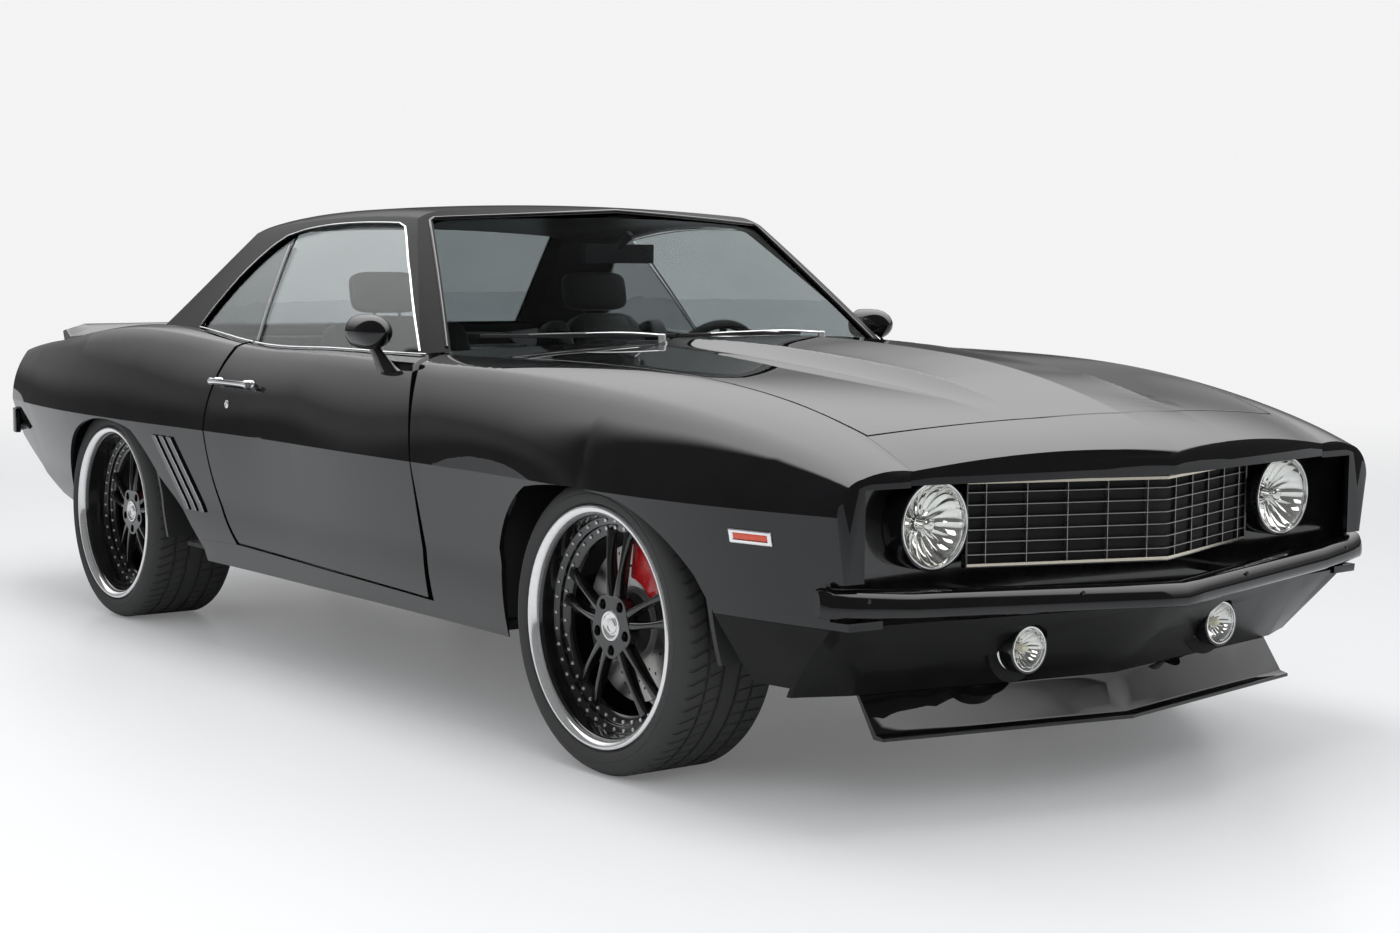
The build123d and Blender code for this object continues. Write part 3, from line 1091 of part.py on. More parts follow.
# --- cabin --------------------------------------------------------------------------------
with BuildPart() as dashboard:
    add(side_prism(DASH_PROFILE, -DASH_HALF, DASH_HALF))
    with BuildSketch(Plane(origin=STEER_CENTRE, x_dir=(0, 1, 0), z_dir=STEER_AXIS).offset(-25)):
        Circle(COLUMN_RADIUS)
    extrude(amount=-COLUMN_LENGTH)
    add(liner_hull, mode=Mode.INTERSECT)
steer_plane = Plane(origin=STEER_CENTRE, x_dir=(0, 1, 0), z_dir=STEER_AXIS)
with BuildPart() as steering_wheel:
    with BuildSketch(steer_plane.offset(-25 + SEAM)):
        Circle(COLUMN_RADIUS + 8)
    extrude(amount=30)
    with BuildSketch(steer_plane.offset(-6)):
        with PolarLocations(STEER_RADIUS / 2, 3, start_angle=90):
            Rectangle(STEER_RADIUS, 30)
    extrude(amount=6)
    with BuildSketch(Plane(origin=STEER_CENTRE, x_dir=(0, 1, 0),
                           z_dir=Vector(STEER_AXIS).cross(Vector(0, 1, 0)))):
        with Locations((STEER_RADIUS, 0)):
            Circle(STEER_GRIP)
    revolve(axis=Axis(STEER_CENTRE, STEER_AXIS))

glass_clear = glasshouse(GLASS_SET + GLASS + SEAM)
with BuildPart() as cabin_mirror:
    add(block((236, -118, 1140), (258, 118, 1194)))
    add(side_prism(((248, 1180), (258, 1180), (330, 1232), (330, 1246), (310, 1246)), -8, 8))
    add(glass_clear, mode=Mode.INTERSECT)

with BuildPart() as wipers:
    for inner_end, outer_end, pivot in WIPERS:
        with BuildSketch(Plane.XY.offset(WIPER_Z)):
            with BuildLine():
                points = []
                for y in (inner_end, (inner_end + outer_end) / 2, outer_end):
                    points.append((WIPER_X - WIPER_BOW * y * y, y))
                ThreePointArc(*points)
                Line(points[2], (points[2][0] + 10, points[2][1]))
                ThreePointArc(*[(x + 10, y) for x, y in reversed(points)])
                Line((points[0][0] + 10, points[0][1]), points[0])
            make_face()
        extrude(amount=12)
        middle = points[1]
        add(plan_prism(((pivot[0] - 7, pivot[1]), (pivot[0] + 7, pivot[1]),
                        (middle[0] + 14, middle[1]), (middle[0] + 2, middle[1])),
                       WIPER_Z + 2, WIPER_Z + 12))
        with Locations((pivot[0], pivot[1], WIPER_Z - 10)):
            Cylinder(11, 60)
    add(clear_hull, mode=Mode.SUBTRACT)

with BuildPart() as front_seats:
    add(block((-230, SEAT_Y - 190, FLOOR_Z + FLOOR_PLATE + SEAM), (190, SEAT_Y + 190, 340)))
    add(block((-260, SEAT_Y - 235, 330), (230, SEAT_Y + 235, 460)))
    add(side_prism(((-150, 440), (-270, 440), (-440, 980), (-350, 990)), SEAT_Y - 235, SEAT_Y + 235))
    add(side_prism(((-372, 985), (-428, 985), (-452, 1110), (-400, 1115)), SEAT_Y - 120, SEAT_Y + 120))
    mirror(about=Plane.XZ)
with BuildPart() as rear_seat:
    add(block((BULKHEAD_X + FLOOR_PLATE + SEAM, -REAR_SEAT_HALF, FLOOR_Z + TUNNEL_HEIGHT + SEAM),
              (-440, REAR_SEAT_HALF, 470)))
    add(side_prism(((-840, 460), (BULKHEAD_X + FLOOR_PLATE + SEAM, 460),
                    (BULKHEAD_X + FLOOR_PLATE + SEAM, BOOT_FLOOR_Z + FLOOR_PLATE + SEAM),
                    (SHELF_X + FLOOR_PLATE + SEAM, BOOT_FLOOR_Z + FLOOR_PLATE + SEAM),
                    (SHELF_X + FLOOR_PLATE + SEAM, 860), (-1040, 860)),
                   -REAR_SEAT_HALF, REAR_SEAT_HALF))

# --- exhaust and tank ---------------------------------------------------------------------
with BuildPart() as exhaust:
    for side in (1, -1):
        with BuildSketch(row_plane(EXHAUST_REAR_X)):
            with Locations((side * EXHAUST_Y, EXHAUST_Z)):
                Circle(EXHAUST_RADIUS)
        extrude(amount=980 - EXHAUST_REAR_X)
        for x in (-860, 700):
            add(block((x - 12, side * EXHAUST_Y - 12, EXHAUST_Z),
                      (x + 12, side * EXHAUST_Y + 12, FLOOR_Z - SEAM)))
with BuildPart() as fuel_tank:
    add(block((-2000, -400, 330), (-1530, 400, BOOT_FLOOR_Z - SEAM)))

pieces = {
    "wings": wings, "bonnet": bonnet, "header_panel": header_panel, "cowl_panel": cowl_panel,
    "sills": sills, "quarters": quarters, "deck_panel": deck_panel, "boot_lid": boot_lid,
    "tail_panel": tail_panel, "roof": roof, "windscreen": windscreen,
    "rear_window": rear_window, "quarter_glass": quarter_glass,
    "door_left": door_left, "door_right": door_right, "door_glass_left": door_glass_left,
    "door_glass_right": door_glass_right, "mirror_left": mirror_left,
    "mirror_right": mirror_right, "wheel_housings": wheel_housings, "floor_pan": floor_pan,
    "sill_beams": sill_beams, "knuckle_left": knuckle_left, "knuckle_right": knuckle_right,
    "front_subframe": front_subframe, "engine_block": engine_block, "rear_axle": rear_axle,
    "front_valance": front_valance, "lamp_panel": lamp_panel, "grille": grille,
    "headlamps": headlamps, "fog_lamps": fog_lamps, "front_bumper": front_bumper,
    "chin_spoiler": chin_spoiler, "side_markers": side_markers, "side_gills": side_gills,
    "tail_lamps": tail_lamps, "rear_bumper": rear_bumper, "rear_spoiler": rear_spoiler,
    "dashboard": dashboard, "steering_wheel": steering_wheel, "cabin_mirror": cabin_mirror,
    "wipers": wipers, "front_seats": front_seats, "rear_seat": rear_seat,
    "exhaust": exhaust, "fuel_tank": fuel_tank, **wheel_parts,
}
for name, piece in pieces.items():
    piece.part.label = name
    export_step(piece.part, f"parts/{name}.step")
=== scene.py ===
"""Two-door hardtop muscle car in gloss black: the finished looks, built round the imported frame."""
import json
import logging
import math
from dataclasses import dataclass, replace
from enum import Enum
from typing import Callable, Sequence

import bmesh
import bpy
import numpy as np
from mathutils import Matrix, Vector
from mathutils.bvhtree import BVHTree
from mathutils.geometry import delaunay_2d_cdt

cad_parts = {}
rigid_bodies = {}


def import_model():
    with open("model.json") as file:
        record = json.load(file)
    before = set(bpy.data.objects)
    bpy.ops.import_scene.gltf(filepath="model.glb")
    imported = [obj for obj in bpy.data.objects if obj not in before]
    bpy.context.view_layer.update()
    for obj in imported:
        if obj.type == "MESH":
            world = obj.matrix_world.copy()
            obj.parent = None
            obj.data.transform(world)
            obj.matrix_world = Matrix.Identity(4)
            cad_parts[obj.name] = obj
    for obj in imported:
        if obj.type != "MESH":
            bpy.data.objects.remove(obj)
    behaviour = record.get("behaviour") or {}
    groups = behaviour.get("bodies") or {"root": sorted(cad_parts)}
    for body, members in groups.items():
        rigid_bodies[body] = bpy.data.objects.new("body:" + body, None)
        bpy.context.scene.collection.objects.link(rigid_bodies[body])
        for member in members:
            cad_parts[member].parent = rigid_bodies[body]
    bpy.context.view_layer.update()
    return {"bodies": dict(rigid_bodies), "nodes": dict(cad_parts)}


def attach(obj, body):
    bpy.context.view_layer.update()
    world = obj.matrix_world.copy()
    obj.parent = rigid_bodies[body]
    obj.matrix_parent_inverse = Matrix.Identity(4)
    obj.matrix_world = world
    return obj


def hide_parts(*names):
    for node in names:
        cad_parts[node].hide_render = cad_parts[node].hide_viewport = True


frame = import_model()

LOG = logging.getLogger("car")
Point = tuple[float, float, float]
Pair = tuple[float, float]


# ---- finishes
class Wiring:
    """Adds nodes to a tree, with their inputs set or joined."""

    def __init__(self, tree: bpy.types.NodeTree) -> None:
        """Starts on a tree."""
        self.tree = tree

    def feed(self, node: bpy.types.Node, inputs: dict) -> None:
        """Joins or sets inputs of a node.

        Args:
            node: node to feed.
            inputs: a socket or a plain value for each input's name or number.
        """
        for key, value in inputs.items():
            if isinstance(value, bpy.types.NodeSocket):
                self.tree.links.new(value, node.inputs[key])
            else:
                node.inputs[key].default_value = value

    def add(self, kind: str, inputs: dict | None = None, **settings: str) -> bpy.types.Node:
        """Adds one node.

        Args:
            kind: shader node type, without its prefix.
            inputs: see feed.
            settings: the node's own options.

        Returns:
            The node.
        """
        node = self.tree.nodes.new(f"ShaderNode{kind}")
        for key, value in settings.items():
            setattr(node, key, value)
        self.feed(node, inputs or {})
        return node

    def calc(self, operation: str, *values: object) -> bpy.types.NodeSocket:
        """Result of a sum on sockets or numbers."""
        return self.add("Math", dict(enumerate(values)), operation=operation).outputs[0]

    def ease(self, value: bpy.types.NodeSocket, limits: Pair, **inputs: float
             ) -> bpy.types.NodeSocket:
        """A soft step between two limits.

        Args:
            value: socket to step.
            limits: where the step starts and ends.
            inputs: low and high, the values at its ends.

        Returns:
            The stepped value.
        """
        names = {"low": "To Min", "high": "To Max"}
        return self.add("MapRange", {"Value": value, "From Min": limits[0], "From Max": limits[1],
                                     **{names[k]: v for k, v in inputs.items()}},
                        interpolation_type="SMOOTHSTEP").outputs["Result"]

    def ramp(self, value: bpy.types.NodeSocket, colours: Sequence[Point],
             places: Pair = (0.0, 1.0)) -> bpy.types.NodeSocket:
        """A blend of two colours.

        Args:
            value: socket that picks between them.
            colours: the two colours.
            places: the value at which each is reached.

        Returns:
            The colour.
        """
        node = self.add("ValToRGB", {"Fac": value})
        for element, colour, place_ in zip(node.color_ramp.elements, colours, places):
            element.color = (*colour, 1)
            element.position = place_
        return node.outputs["Color"]


class Grain(Enum):
    """How the colour and relief of a finish vary over a surface."""

    SOFT = "soft"            # slow cloudy change
    FINE = "fine"            # fine cast or orange-peel grain
    BRUSHED = "brushed"      # fine lines one way
    HIDE = "hide"            # leather pores
    LOOP = "loop"            # carpet loops


def grey(value: float) -> Point:
    """A neutral colour."""
    return (value, value, value)


@dataclass(frozen=True)
class Finish:
    """One surface finish, made as a node material.

    Args:
        name: material name.
        base: main colour, linear.
        accent: colour that the base drifts towards.
        metallic: 0 to 1.
        rough: lowest and highest roughness.
        grain: kind of variation.
        scale: cells of the variation in one metre.
        bump: relief in metres.
        coat: clear lacquer weight.
        coat_rough: roughness of the lacquer.
        sheen: cloth sheen weight.
        transmission: 0 opaque, 1 clear.
        ior: refractive index.
        specular: strength of the base's own gloss.
    """

    name: str
    base: Point
    accent: Point
    metallic: float = 0.0
    rough: Pair = (0.4, 0.5)
    grain: Grain = Grain.SOFT
    scale: float = 12.0
    bump: float = 0.0
    coat: float = 0.0
    coat_rough: float = 0.03
    sheen: float = 0.0
    transmission: float = 0.0
    ior: float = 1.5
    specular: float = 0.5

    def material(self) -> bpy.types.Material:
        """The material, made once and then reused.

        Returns:
            The material.
        """
        found = bpy.data.materials.get(self.name)
        if found:
            return found
        mat = bpy.data.materials.new(self.name)
        mat.use_nodes = True
        mat.node_tree.nodes.clear()
        wire = Wiring(mat.node_tree)
        value = self._pattern(wire)
        rough = wire.add("MapRange", {"To Min": self.rough[0], "To Max": self.rough[1],
                                      "Value": value}).outputs["Result"]
        shader = wire.add("BsdfPrincipled", {
            "Base Color": wire.ramp(value, (self.base, self.accent), (0.3, 0.8)),
            "Roughness": rough, "Metallic": self.metallic, "IOR": self.ior,
            "Specular IOR Level": self.specular, "Coat Weight": self.coat,
            "Coat Roughness": self.coat_rough, "Sheen Weight": self.sheen,
            "Transmission Weight": self.transmission})
        wire.add("OutputMaterial", {"Surface": shader.outputs["BSDF"]})
        if self.bump:
            relief = wire.add("Bump", {"Strength": 1.0, "Distance": self.bump, "Height": value})
            wire.feed(shader, {"Normal": relief.outputs["Normal"]})
        return mat

    def _pattern(self, wire: Wiring) -> bpy.types.NodeSocket:
        """The node output that drives colour, roughness and relief.

        Args:
            wire: wiring of the material.

        Returns:
            A socket with a value from 0 to 1.
        """
        where = wire.add("TexCoord").outputs["Object"]
        stretch = wire.add("Mapping", {"Vector": where})
        if self.grain is Grain.BRUSHED:
            stretch.inputs["Scale"].default_value = (1.0, 12.0, 12.0)
        inputs = {"Scale": self.scale, "Vector": stretch.outputs["Vector"]}
        if self.grain in (Grain.HIDE, Grain.LOOP):
            return wire.add("TexVoronoi", inputs).outputs["Distance"]
        inputs["Detail"] = 2.0 if self.grain is Grain.SOFT else 6.0
        return wire.add("TexNoise", inputs).outputs["Fac"]


PAINT = Finish("gloss_black_paint", (0.0035, 0.0035, 0.004), (0.0055, 0.0055, 0.006),
               rough=(0.3, 0.36), scale=9.0, coat=1.0, coat_rough=0.012, specular=0.0)
ROOF_PAINT = replace(PAINT, name="roof_black_paint", coat=0.45)
TRIM_BLACK = Finish("gloss_black_trim", grey(0.004), grey(0.008),
                    rough=(0.1, 0.18), scale=20.0, coat=0.6)
SATIN_BLACK = Finish("satin_black_plastic", grey(0.008), grey(0.014),
                     rough=(0.42, 0.55), grain=Grain.FINE, scale=900.0, bump=0.00004)
CHASSIS = Finish("chassis_black", grey(0.006), (0.014, 0.013, 0.012),
                 rough=(0.55, 0.75), grain=Grain.FINE, scale=60.0, bump=0.0002)
CHROME = Finish("chrome", (0.78, 0.78, 0.79), (0.86, 0.86, 0.87), metallic=0.8,
                rough=(0.04, 0.1), scale=14.0)
POLISHED = Finish("polished_aluminium", grey(0.72), grey(0.84), metallic=0.75,
                  rough=(0.08, 0.16), grain=Grain.BRUSHED, scale=30.0)
CHAMPAGNE = Finish("champagne_brightwork", (0.62, 0.57, 0.47), (0.72, 0.67, 0.57), metallic=1.0,
                   rough=(0.14, 0.22), grain=Grain.BRUSHED, scale=20.0)
STEEL = Finish("machined_steel", (0.34, 0.33, 0.32), (0.5, 0.49, 0.47), metallic=1.0,
               rough=(0.22, 0.38), grain=Grain.BRUSHED, scale=60.0)
CAST = Finish("cast_metal", grey(0.11), (0.2, 0.2, 0.19), metallic=0.8,
              rough=(0.45, 0.62), grain=Grain.FINE, scale=180.0, bump=0.0003)
PIPE = Finish("steel_pipe", (0.2, 0.19, 0.18), (0.34, 0.32, 0.29), metallic=0.9,
              rough=(0.3, 0.5), scale=24.0)
CALIPER_RED = Finish("caliper_red", (0.30, 0.006, 0.008), (0.42, 0.01, 0.012),
                     rough=(0.22, 0.32), scale=60.0, coat=0.5)
RUBBER = Finish("tyre_rubber", grey(0.002), grey(0.005), specular=0.16,
                rough=(0.5, 0.66), grain=Grain.FINE, scale=160.0, bump=0.00008)
LEATHER = Finish("black_leather", grey(0.009), (0.02, 0.019, 0.018),
                 rough=(0.38, 0.52), grain=Grain.HIDE, scale=420.0, bump=0.0003)
CARPET = Finish("black_carpet", grey(0.006), grey(0.02),
                rough=(0.85, 0.98), grain=Grain.LOOP, scale=600.0, bump=0.0012, sheen=0.3)
DASH = Finish("dash_vinyl", grey(0.010), grey(0.02),
              rough=(0.45, 0.6), grain=Grain.HIDE, scale=700.0, bump=0.0002)
GLASS = Finish("side_glass", (0.73, 0.77, 0.77), (0.77, 0.81, 0.81), rough=(0.0, 0.0),
               scale=3.0, transmission=1.0, ior=1.3, specular=0.06)
# darker copy of the side glass: painted shade of the dim cabin behind the quarter windows
QUARTER_GLASS = replace(GLASS, name="quarter_glass_shaded", base=(0.34, 0.365, 0.365),
                        accent=(0.38, 0.405, 0.405))
SCREEN = Finish("tinted_glass", (0.40, 0.43, 0.435), (0.44, 0.47, 0.475), rough=(0.0, 0.0),
                scale=3.0, transmission=1.0, ior=1.03, specular=0.02)
SURROUND = Finish("screen_surround", grey(0.003), grey(0.007),
                  rough=(0.3, 0.4), specular=0.12)
VALANCE = Finish("valance_black", grey(0.003), grey(0.006),
                 rough=(0.3, 0.4), specular=0.1, coat=0.10, coat_rough=0.03)
LENS = Finish("clear_lens", (0.93, 0.94, 0.93), (0.97, 0.97, 0.96), rough=(0.0, 0.01),
              scale=10.0, transmission=1.0, ior=1.3)
REFLECTOR = Finish("lamp_reflector", (0.80, 0.80, 0.78), (0.88, 0.88, 0.85), metallic=1.0,
                   rough=(0.05, 0.12), scale=30.0)
BULB = Finish("bulb_glass", (0.92, 0.86, 0.66), (0.98, 0.94, 0.8), rough=(0.1, 0.2),
              scale=60.0)
AMBER_RED = Finish("marker_lens", (0.50, 0.035, 0.006), (0.62, 0.07, 0.01), rough=(0.08, 0.2),
                   grain=Grain.FINE, scale=240.0, bump=0.0006, coat=0.6)
RED_LENS = Finish("tail_lens", (0.26, 0.004, 0.004), (0.34, 0.01, 0.008), rough=(0.06, 0.16),
                  grain=Grain.FINE, scale=200.0, bump=0.0005, coat=0.8)
# near-black matte finish for sheets that are painted shade in openings
SHADE_BLACK = Finish("painted_shade_black", grey(0.002), grey(0.004), rough=(0.7, 0.9),
              grain=Grain.FINE, scale=200.0, bump=0.0001)


# ---- mesh tools
def smooth_by_angle(mesh: bpy.types.Mesh, degrees: float = 32.0) -> None:
    """Smooth shading, with edges sharper than an angle kept crisp."""
    mesh.polygons.foreach_set("use_smooth", [True] * len(mesh.polygons))
    mesh.set_sharp_from_angle(angle=math.radians(degrees))


def new_piece(name: str, verts: Sequence[Sequence[float]], faces: Sequence[Sequence[int]],
              finish: Finish, body: str, degrees: float = 32.0) -> bpy.types.Object:
    """A mesh object with its finish, riding on a body.

    Args:
        name: piece name.
        verts: corner points in metres.
        faces: corner indices of each face.
        finish: surface finish.
        body: frame body that it rides on.
        degrees: crisp edge angle.

    Returns:
        The linked object.
    """
    mesh = bpy.data.meshes.new(name)
    mesh.from_pydata([tuple(map(float, v)) for v in verts], [], [tuple(f) for f in faces])
    bm = bmesh.new()
    bm.from_mesh(mesh)
    bmesh.ops.remove_doubles(bm, verts=bm.verts, dist=1e-6)
    bmesh.ops.recalc_face_normals(bm, faces=bm.faces)
    bm.to_mesh(mesh)
    bm.free()
    return place(name, mesh, finish, body, degrees)


def place(name: str, mesh: bpy.types.Mesh, finish: Finish, body: str,
          degrees: float = 32.0) -> bpy.types.Object:
    """Links a mesh as a piece that rides on a body.

    Args:
        name: piece name.
        mesh: finished mesh.
        finish: surface finish.
        body: frame body that it rides on.
        degrees: crisp edge angle.

    Returns:
        The linked object.
    """
    smooth_by_angle(mesh, degrees)
    obj = bpy.data.objects.new(name, mesh)
    bpy.context.scene.collection.objects.link(obj)
    mesh.materials.append(finish.material())
    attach(obj, body)
    return obj


def round_edges(obj: bpy.types.Object, width: float, segments: int = 2,
                degrees: float = 35.0) -> None:
    """Rounds a piece's crisp edges with a bevel modifier.

    Args:
        obj: piece.
        width: edge radius in metres.
        segments: cuts across the round.
        degrees: edges sharper than this are rounded.
    """
    bevel = obj.modifiers.new("round", "BEVEL")
    bevel.width = width
    bevel.segments = segments
    bevel.limit_method = "ANGLE"
    bevel.angle_limit = math.radians(degrees)
    bevel.harden_normals = False


def angles(count: int) -> list[float]:
    """Equal steps of a full turn, in radians."""
    return [2 * math.pi * k / count for k in range(count)]


def outline_mesh(node: str) -> bmesh.types.BMesh:
    """A frame node's mesh with its doubled corners joined.

    Args:
        node: frame node.

    Returns:
        An editable copy.
    """
    bm = bmesh.new()
    bm.from_mesh(frame["nodes"][node].data)
    bmesh.ops.remove_doubles(bm, verts=bm.verts, dist=2e-6)
    return bm


def surface_of(node: str) -> BVHTree:
    """A frame node's surface, to meet rays.

    Args:
        node: frame node.

    Returns:
        The search tree.
    """
    mesh = frame["nodes"][node].data
    return BVHTree.FromPolygons([v.co for v in mesh.vertices],
                                [tuple(f.vertices) for f in mesh.polygons])


def values_of(items: Sequence, key: str, kind: type = int, width: int = 1) -> np.ndarray:
    """One property of every item of a mesh.

    Args:
        items: the mesh's corners, faces or face corners.
        key: name of the property.
        kind: type of its numbers.
        width: how many numbers each has.

    Returns:
        The numbers in a row.
    """
    found = np.empty(len(items) * width, dtype=kind)
    items.foreach_get(key, found)
    return found


def folded(places: np.ndarray) -> tuple[np.ndarray, np.ndarray]:
    """Places mirrored onto the left half, and the side that each came from."""
    return places * (1, 0, 1) + np.abs(places) * (0, 1, 0), np.where(places[:, 1] < 0, -1.0, 1.0)


def ring_x(x: float, y: float, z: float, radii: Pair, side: int, count: int) -> list[Point]:
    """Ring round an axis that runs forwards, in metres; the radii are across and up."""
    return [(x / 1000, side * (y + radii[0] * math.cos(a)) / 1000,
             (z + radii[1] * math.sin(a)) / 1000) for a in angles(count)]


class Builder:
    """Collects points and faces for one mesh."""

    def __init__(self) -> None:
        """Starts with nothing."""
        self.verts: list[Sequence[float]] = []
        self.faces: list[Sequence[int]] = []

    def grid(self, rows: Sequence[Sequence[Sequence[float]]], wrap_row: bool = False,
             wrap_column: bool = False) -> None:
        """Skins a grid of points with quads.

        Args:
            rows: equal-length rows of points.
            wrap_row: joins the end of each row to its start.
            wrap_column: joins the last row to the first.
        """
        base = len(self.verts)
        count = len(rows[0])
        for row in rows:
            self.verts.extend(row)
        for i in range(len(rows) if wrap_column else len(rows) - 1):
            j = (i + 1) % len(rows)
            for k in range(count if wrap_row else count - 1):
                m = (k + 1) % count
                self.faces.append((base + i * count + k, base + i * count + m,
                                   base + j * count + m, base + j * count + k))

    def cap(self, ring: Sequence[Sequence[float]]) -> None:
        """Closes a ring of points with one face.

        Args:
            ring: points in order.
        """
        base = len(self.verts)
        self.verts.extend(ring)
        self.faces.append(tuple(range(base, base + len(ring))))

    def slab(self, low: Sequence[Sequence[float]], high: Sequence[Sequence[float]]) -> None:
        """A closed solid between two outlines with equal counts."""
        self.loft([low, high])

    def loft(self, rings: Sequence[Sequence[Sequence[float]]]) -> None:
        """A closed solid through rings of points, with flat ends.

        Args:
            rings: equal-length rings.
        """
        self.grid(rings, wrap_row=True)
        self.cap(rings[0])
        self.cap(rings[-1])

    def join(self, part: "Builder") -> None:
        """Takes in another builder's mesh.

        Args:
            part: builder to take in.
        """
        base = len(self.verts)
        self.verts += part.verts
        self.faces += [tuple(base + i for i in face) for face in part.faces]

    def piece(self, name: str, finish: Finish, body: str,
              degrees: float = 32.0) -> bpy.types.Object:
        """Makes the collected mesh into a piece that rides on a body."""
        return new_piece(name, self.verts, self.faces, finish, body, degrees)


def tube(path: Sequence[Sequence[float]], radius: float | Sequence[float], sides: int = 10,
         closed: bool = False, flat: float = 1.0) -> Builder:
    """A tube along a path, with flat ends.

    Args:
        path: points along the middle.
        radius: one radius, or one for each point.
        sides: points round it.
        closed: joins the end to the start.
        flat: height of the section as a share of its width.

    Returns:
        The builder that holds it.
    """
    build = Builder()
    points = [Vector(p) for p in path]
    count = len(points)
    up = Vector((0, 0, 1))
    rings = []
    for i, p in enumerate(points):
        before = points[(i - 1) % count] if closed or i else p
        after = points[(i + 1) % count] if closed or i < count - 1 else p
        along = (after - before).normalized()
        side = along.cross(up)
        if side.length < 1e-3:
            side = along.cross(Vector((1, 0, 0)))
        side.normalize()
        top = side.cross(along).normalized()
        r = radius if isinstance(radius, (int, float)) else radius[i]
        rings.append([p + side * (r * math.cos(a)) + top * (r * flat * math.sin(a))
                      for a in angles(sides)])
    build.grid(rings, wrap_row=True, wrap_column=closed)
    if not closed:
        build.cap(rings[0])
        build.cap(rings[-1])
    return build


# ---- body surface
@dataclass(frozen=True)
class Hull:
    """A smooth half-hull: sections across the car, joined lengthwise by a smooth curve.

    Args:
        stations: one row for each section, x first.
        corners: function from the interpolated columns to section points, seven or so rows of
            (y, z), every second one the middle of an arc.
        crisp: section corners that stay sharp.
    """

    stations: tuple[tuple[float, ...], ...]
    corners: Callable[[np.ndarray], np.ndarray]
    crisp: tuple[int, ...] = ()

    def __post_init__(self) -> None:
        """Solves the lengthwise curve of each column once."""
        rows = np.array(sorted(self.stations))
        x, y = rows[:, 0], rows[:, 1:]
        n = len(x)
        h = np.diff(x)
        lhs = np.zeros((n, n))
        rhs = np.zeros((n, y.shape[1]))
        lhs[0, 0] = lhs[-1, -1] = 1.0
        for i in range(1, n - 1):
            lhs[i, i - 1:i + 2] = h[i - 1], 2 * (h[i - 1] + h[i]), h[i]
            rhs[i] = 6 * ((y[i + 1] - y[i]) / h[i] - (y[i] - y[i - 1]) / h[i - 1])
        object.__setattr__(self, "_x", x)
        object.__setattr__(self, "_y", y)
        object.__setattr__(self, "_m", np.linalg.solve(lhs, rhs))
        object.__setattr__(self, "_fit", None)

    def _along(self, x: np.ndarray) -> np.ndarray:
        """Correction functions lengthwise: three bumps between each pair of stations.

        Args:
            x: stations.

        Returns:
            One row for each point.
        """
        xs = self._x
        i = np.clip(np.searchsorted(xs, x) - 1, 0, len(xs) - 2)
        t = np.clip((x - xs[i]) / (xs[i + 1] - xs[i]), 0, 1)
        bump = 4 * t * (1 - t)
        rows = np.arange(len(x))
        along = np.zeros((len(x), 3 * (len(xs) - 1)))
        for k, value in enumerate((bump, bump * (2 * t - 1), bump ** 2)):
            along[rows, 3 * i + k] = value
        return along

    def _across(self, u: np.ndarray) -> np.ndarray:
        """Correction functions round the section: a hat at each corner, a bow on each span.

        Args:
            u: places round the section.

        Returns:
            One row for each place.
        """
        spans = self.spans
        s = np.clip(np.floor(u).astype(int), 0, spans - 1)
        v = u - s
        rows = np.arange(len(u))
        across = np.zeros((len(u), 2 * spans + 1))
        across[rows, s] = 1 - v
        across[rows, s + 1] = v
        across[rows, spans + 1 + s] = 4 * v * (1 - v)
        return across

    @property
    def spans(self) -> int:
        """Number of arcs and lines in a half-section."""
        return (self.corners(self._y[:1]).shape[1] - 1) // 2

    def follow(self, points: np.ndarray, level: tuple[int, ...] = ()) -> None:
        """Eases the hull onto the frame's own outer corners between the stations.

        Args:
            points: (x, y, z) rows on the frame's outer faces, y not negative.
            level: section corners whose height never changes.
        """
        for _ in range(2):
            u, _ = self.nearest(points)
            normal = self.normal(points[:, 0], u)
            here = self.point(points[:, 0], u)
            miss = ((points - here) * normal).sum(axis=1)
            rise = self._along(points[:, 0])[:, :, None] * self._across(u)[:, None, :]
            basis = rise.reshape(len(points), -1).copy()
            for corner in level:
                rise[:, :, corner] = 0
            lhs = np.hstack([basis * normal[:, 1:2],
                             rise.reshape(len(points), -1) * normal[:, 2:3]])
            found = np.linalg.solve(lhs.T @ lhs + 0.05 * np.eye(lhs.shape[1]), lhs.T @ miss)
            both = found.reshape(2, -1)
            if level:
                lift = both[1].reshape(-1, 2 * self.spans + 1)
                lift[:, list(level)] = 0
            old = self._fit if self._fit is not None else 0.0
            object.__setattr__(self, "_fit", both + old)
            LOG.info("hull fit: typical miss %.2f mm, worst %.2f mm",
                     float(np.abs(miss).mean()), float(np.abs(miss).max()))

    def columns(self, x: np.ndarray) -> np.ndarray:
        """Section values at each x.

        Args:
            x: stations in millimetres.

        Returns:
            One row of column values for each station.
        """
        xs, ys, ms = self._x, self._y, self._m
        i = np.clip(np.searchsorted(xs, x) - 1, 0, len(xs) - 2)
        h = (xs[i + 1] - xs[i])[:, None]
        a = (xs[i + 1] - x)[:, None]
        b = (x - xs[i])[:, None]
        return (ms[i] * a ** 3 / (6 * h) + ms[i + 1] * b ** 3 / (6 * h)
                + (ys[i] / h - ms[i] * h / 6) * a + (ys[i + 1] / h - ms[i + 1] * h / 6) * b)

    def _section(self, x: np.ndarray) -> tuple[np.ndarray, np.ndarray]:
        """Section points and their corrections, for use at many places round it.

        Args:
            x: stations.

        Returns:
            The points and the corrections.
        """
        nodes = self.corners(self.columns(x))
        eased = np.zeros((2, len(x), nodes.shape[1]))
        if self._fit is not None:
            table = self._fit.reshape(2, -1, nodes.shape[1])
            eased = np.stack([self._along(x) @ part for part in table])
        return nodes, eased

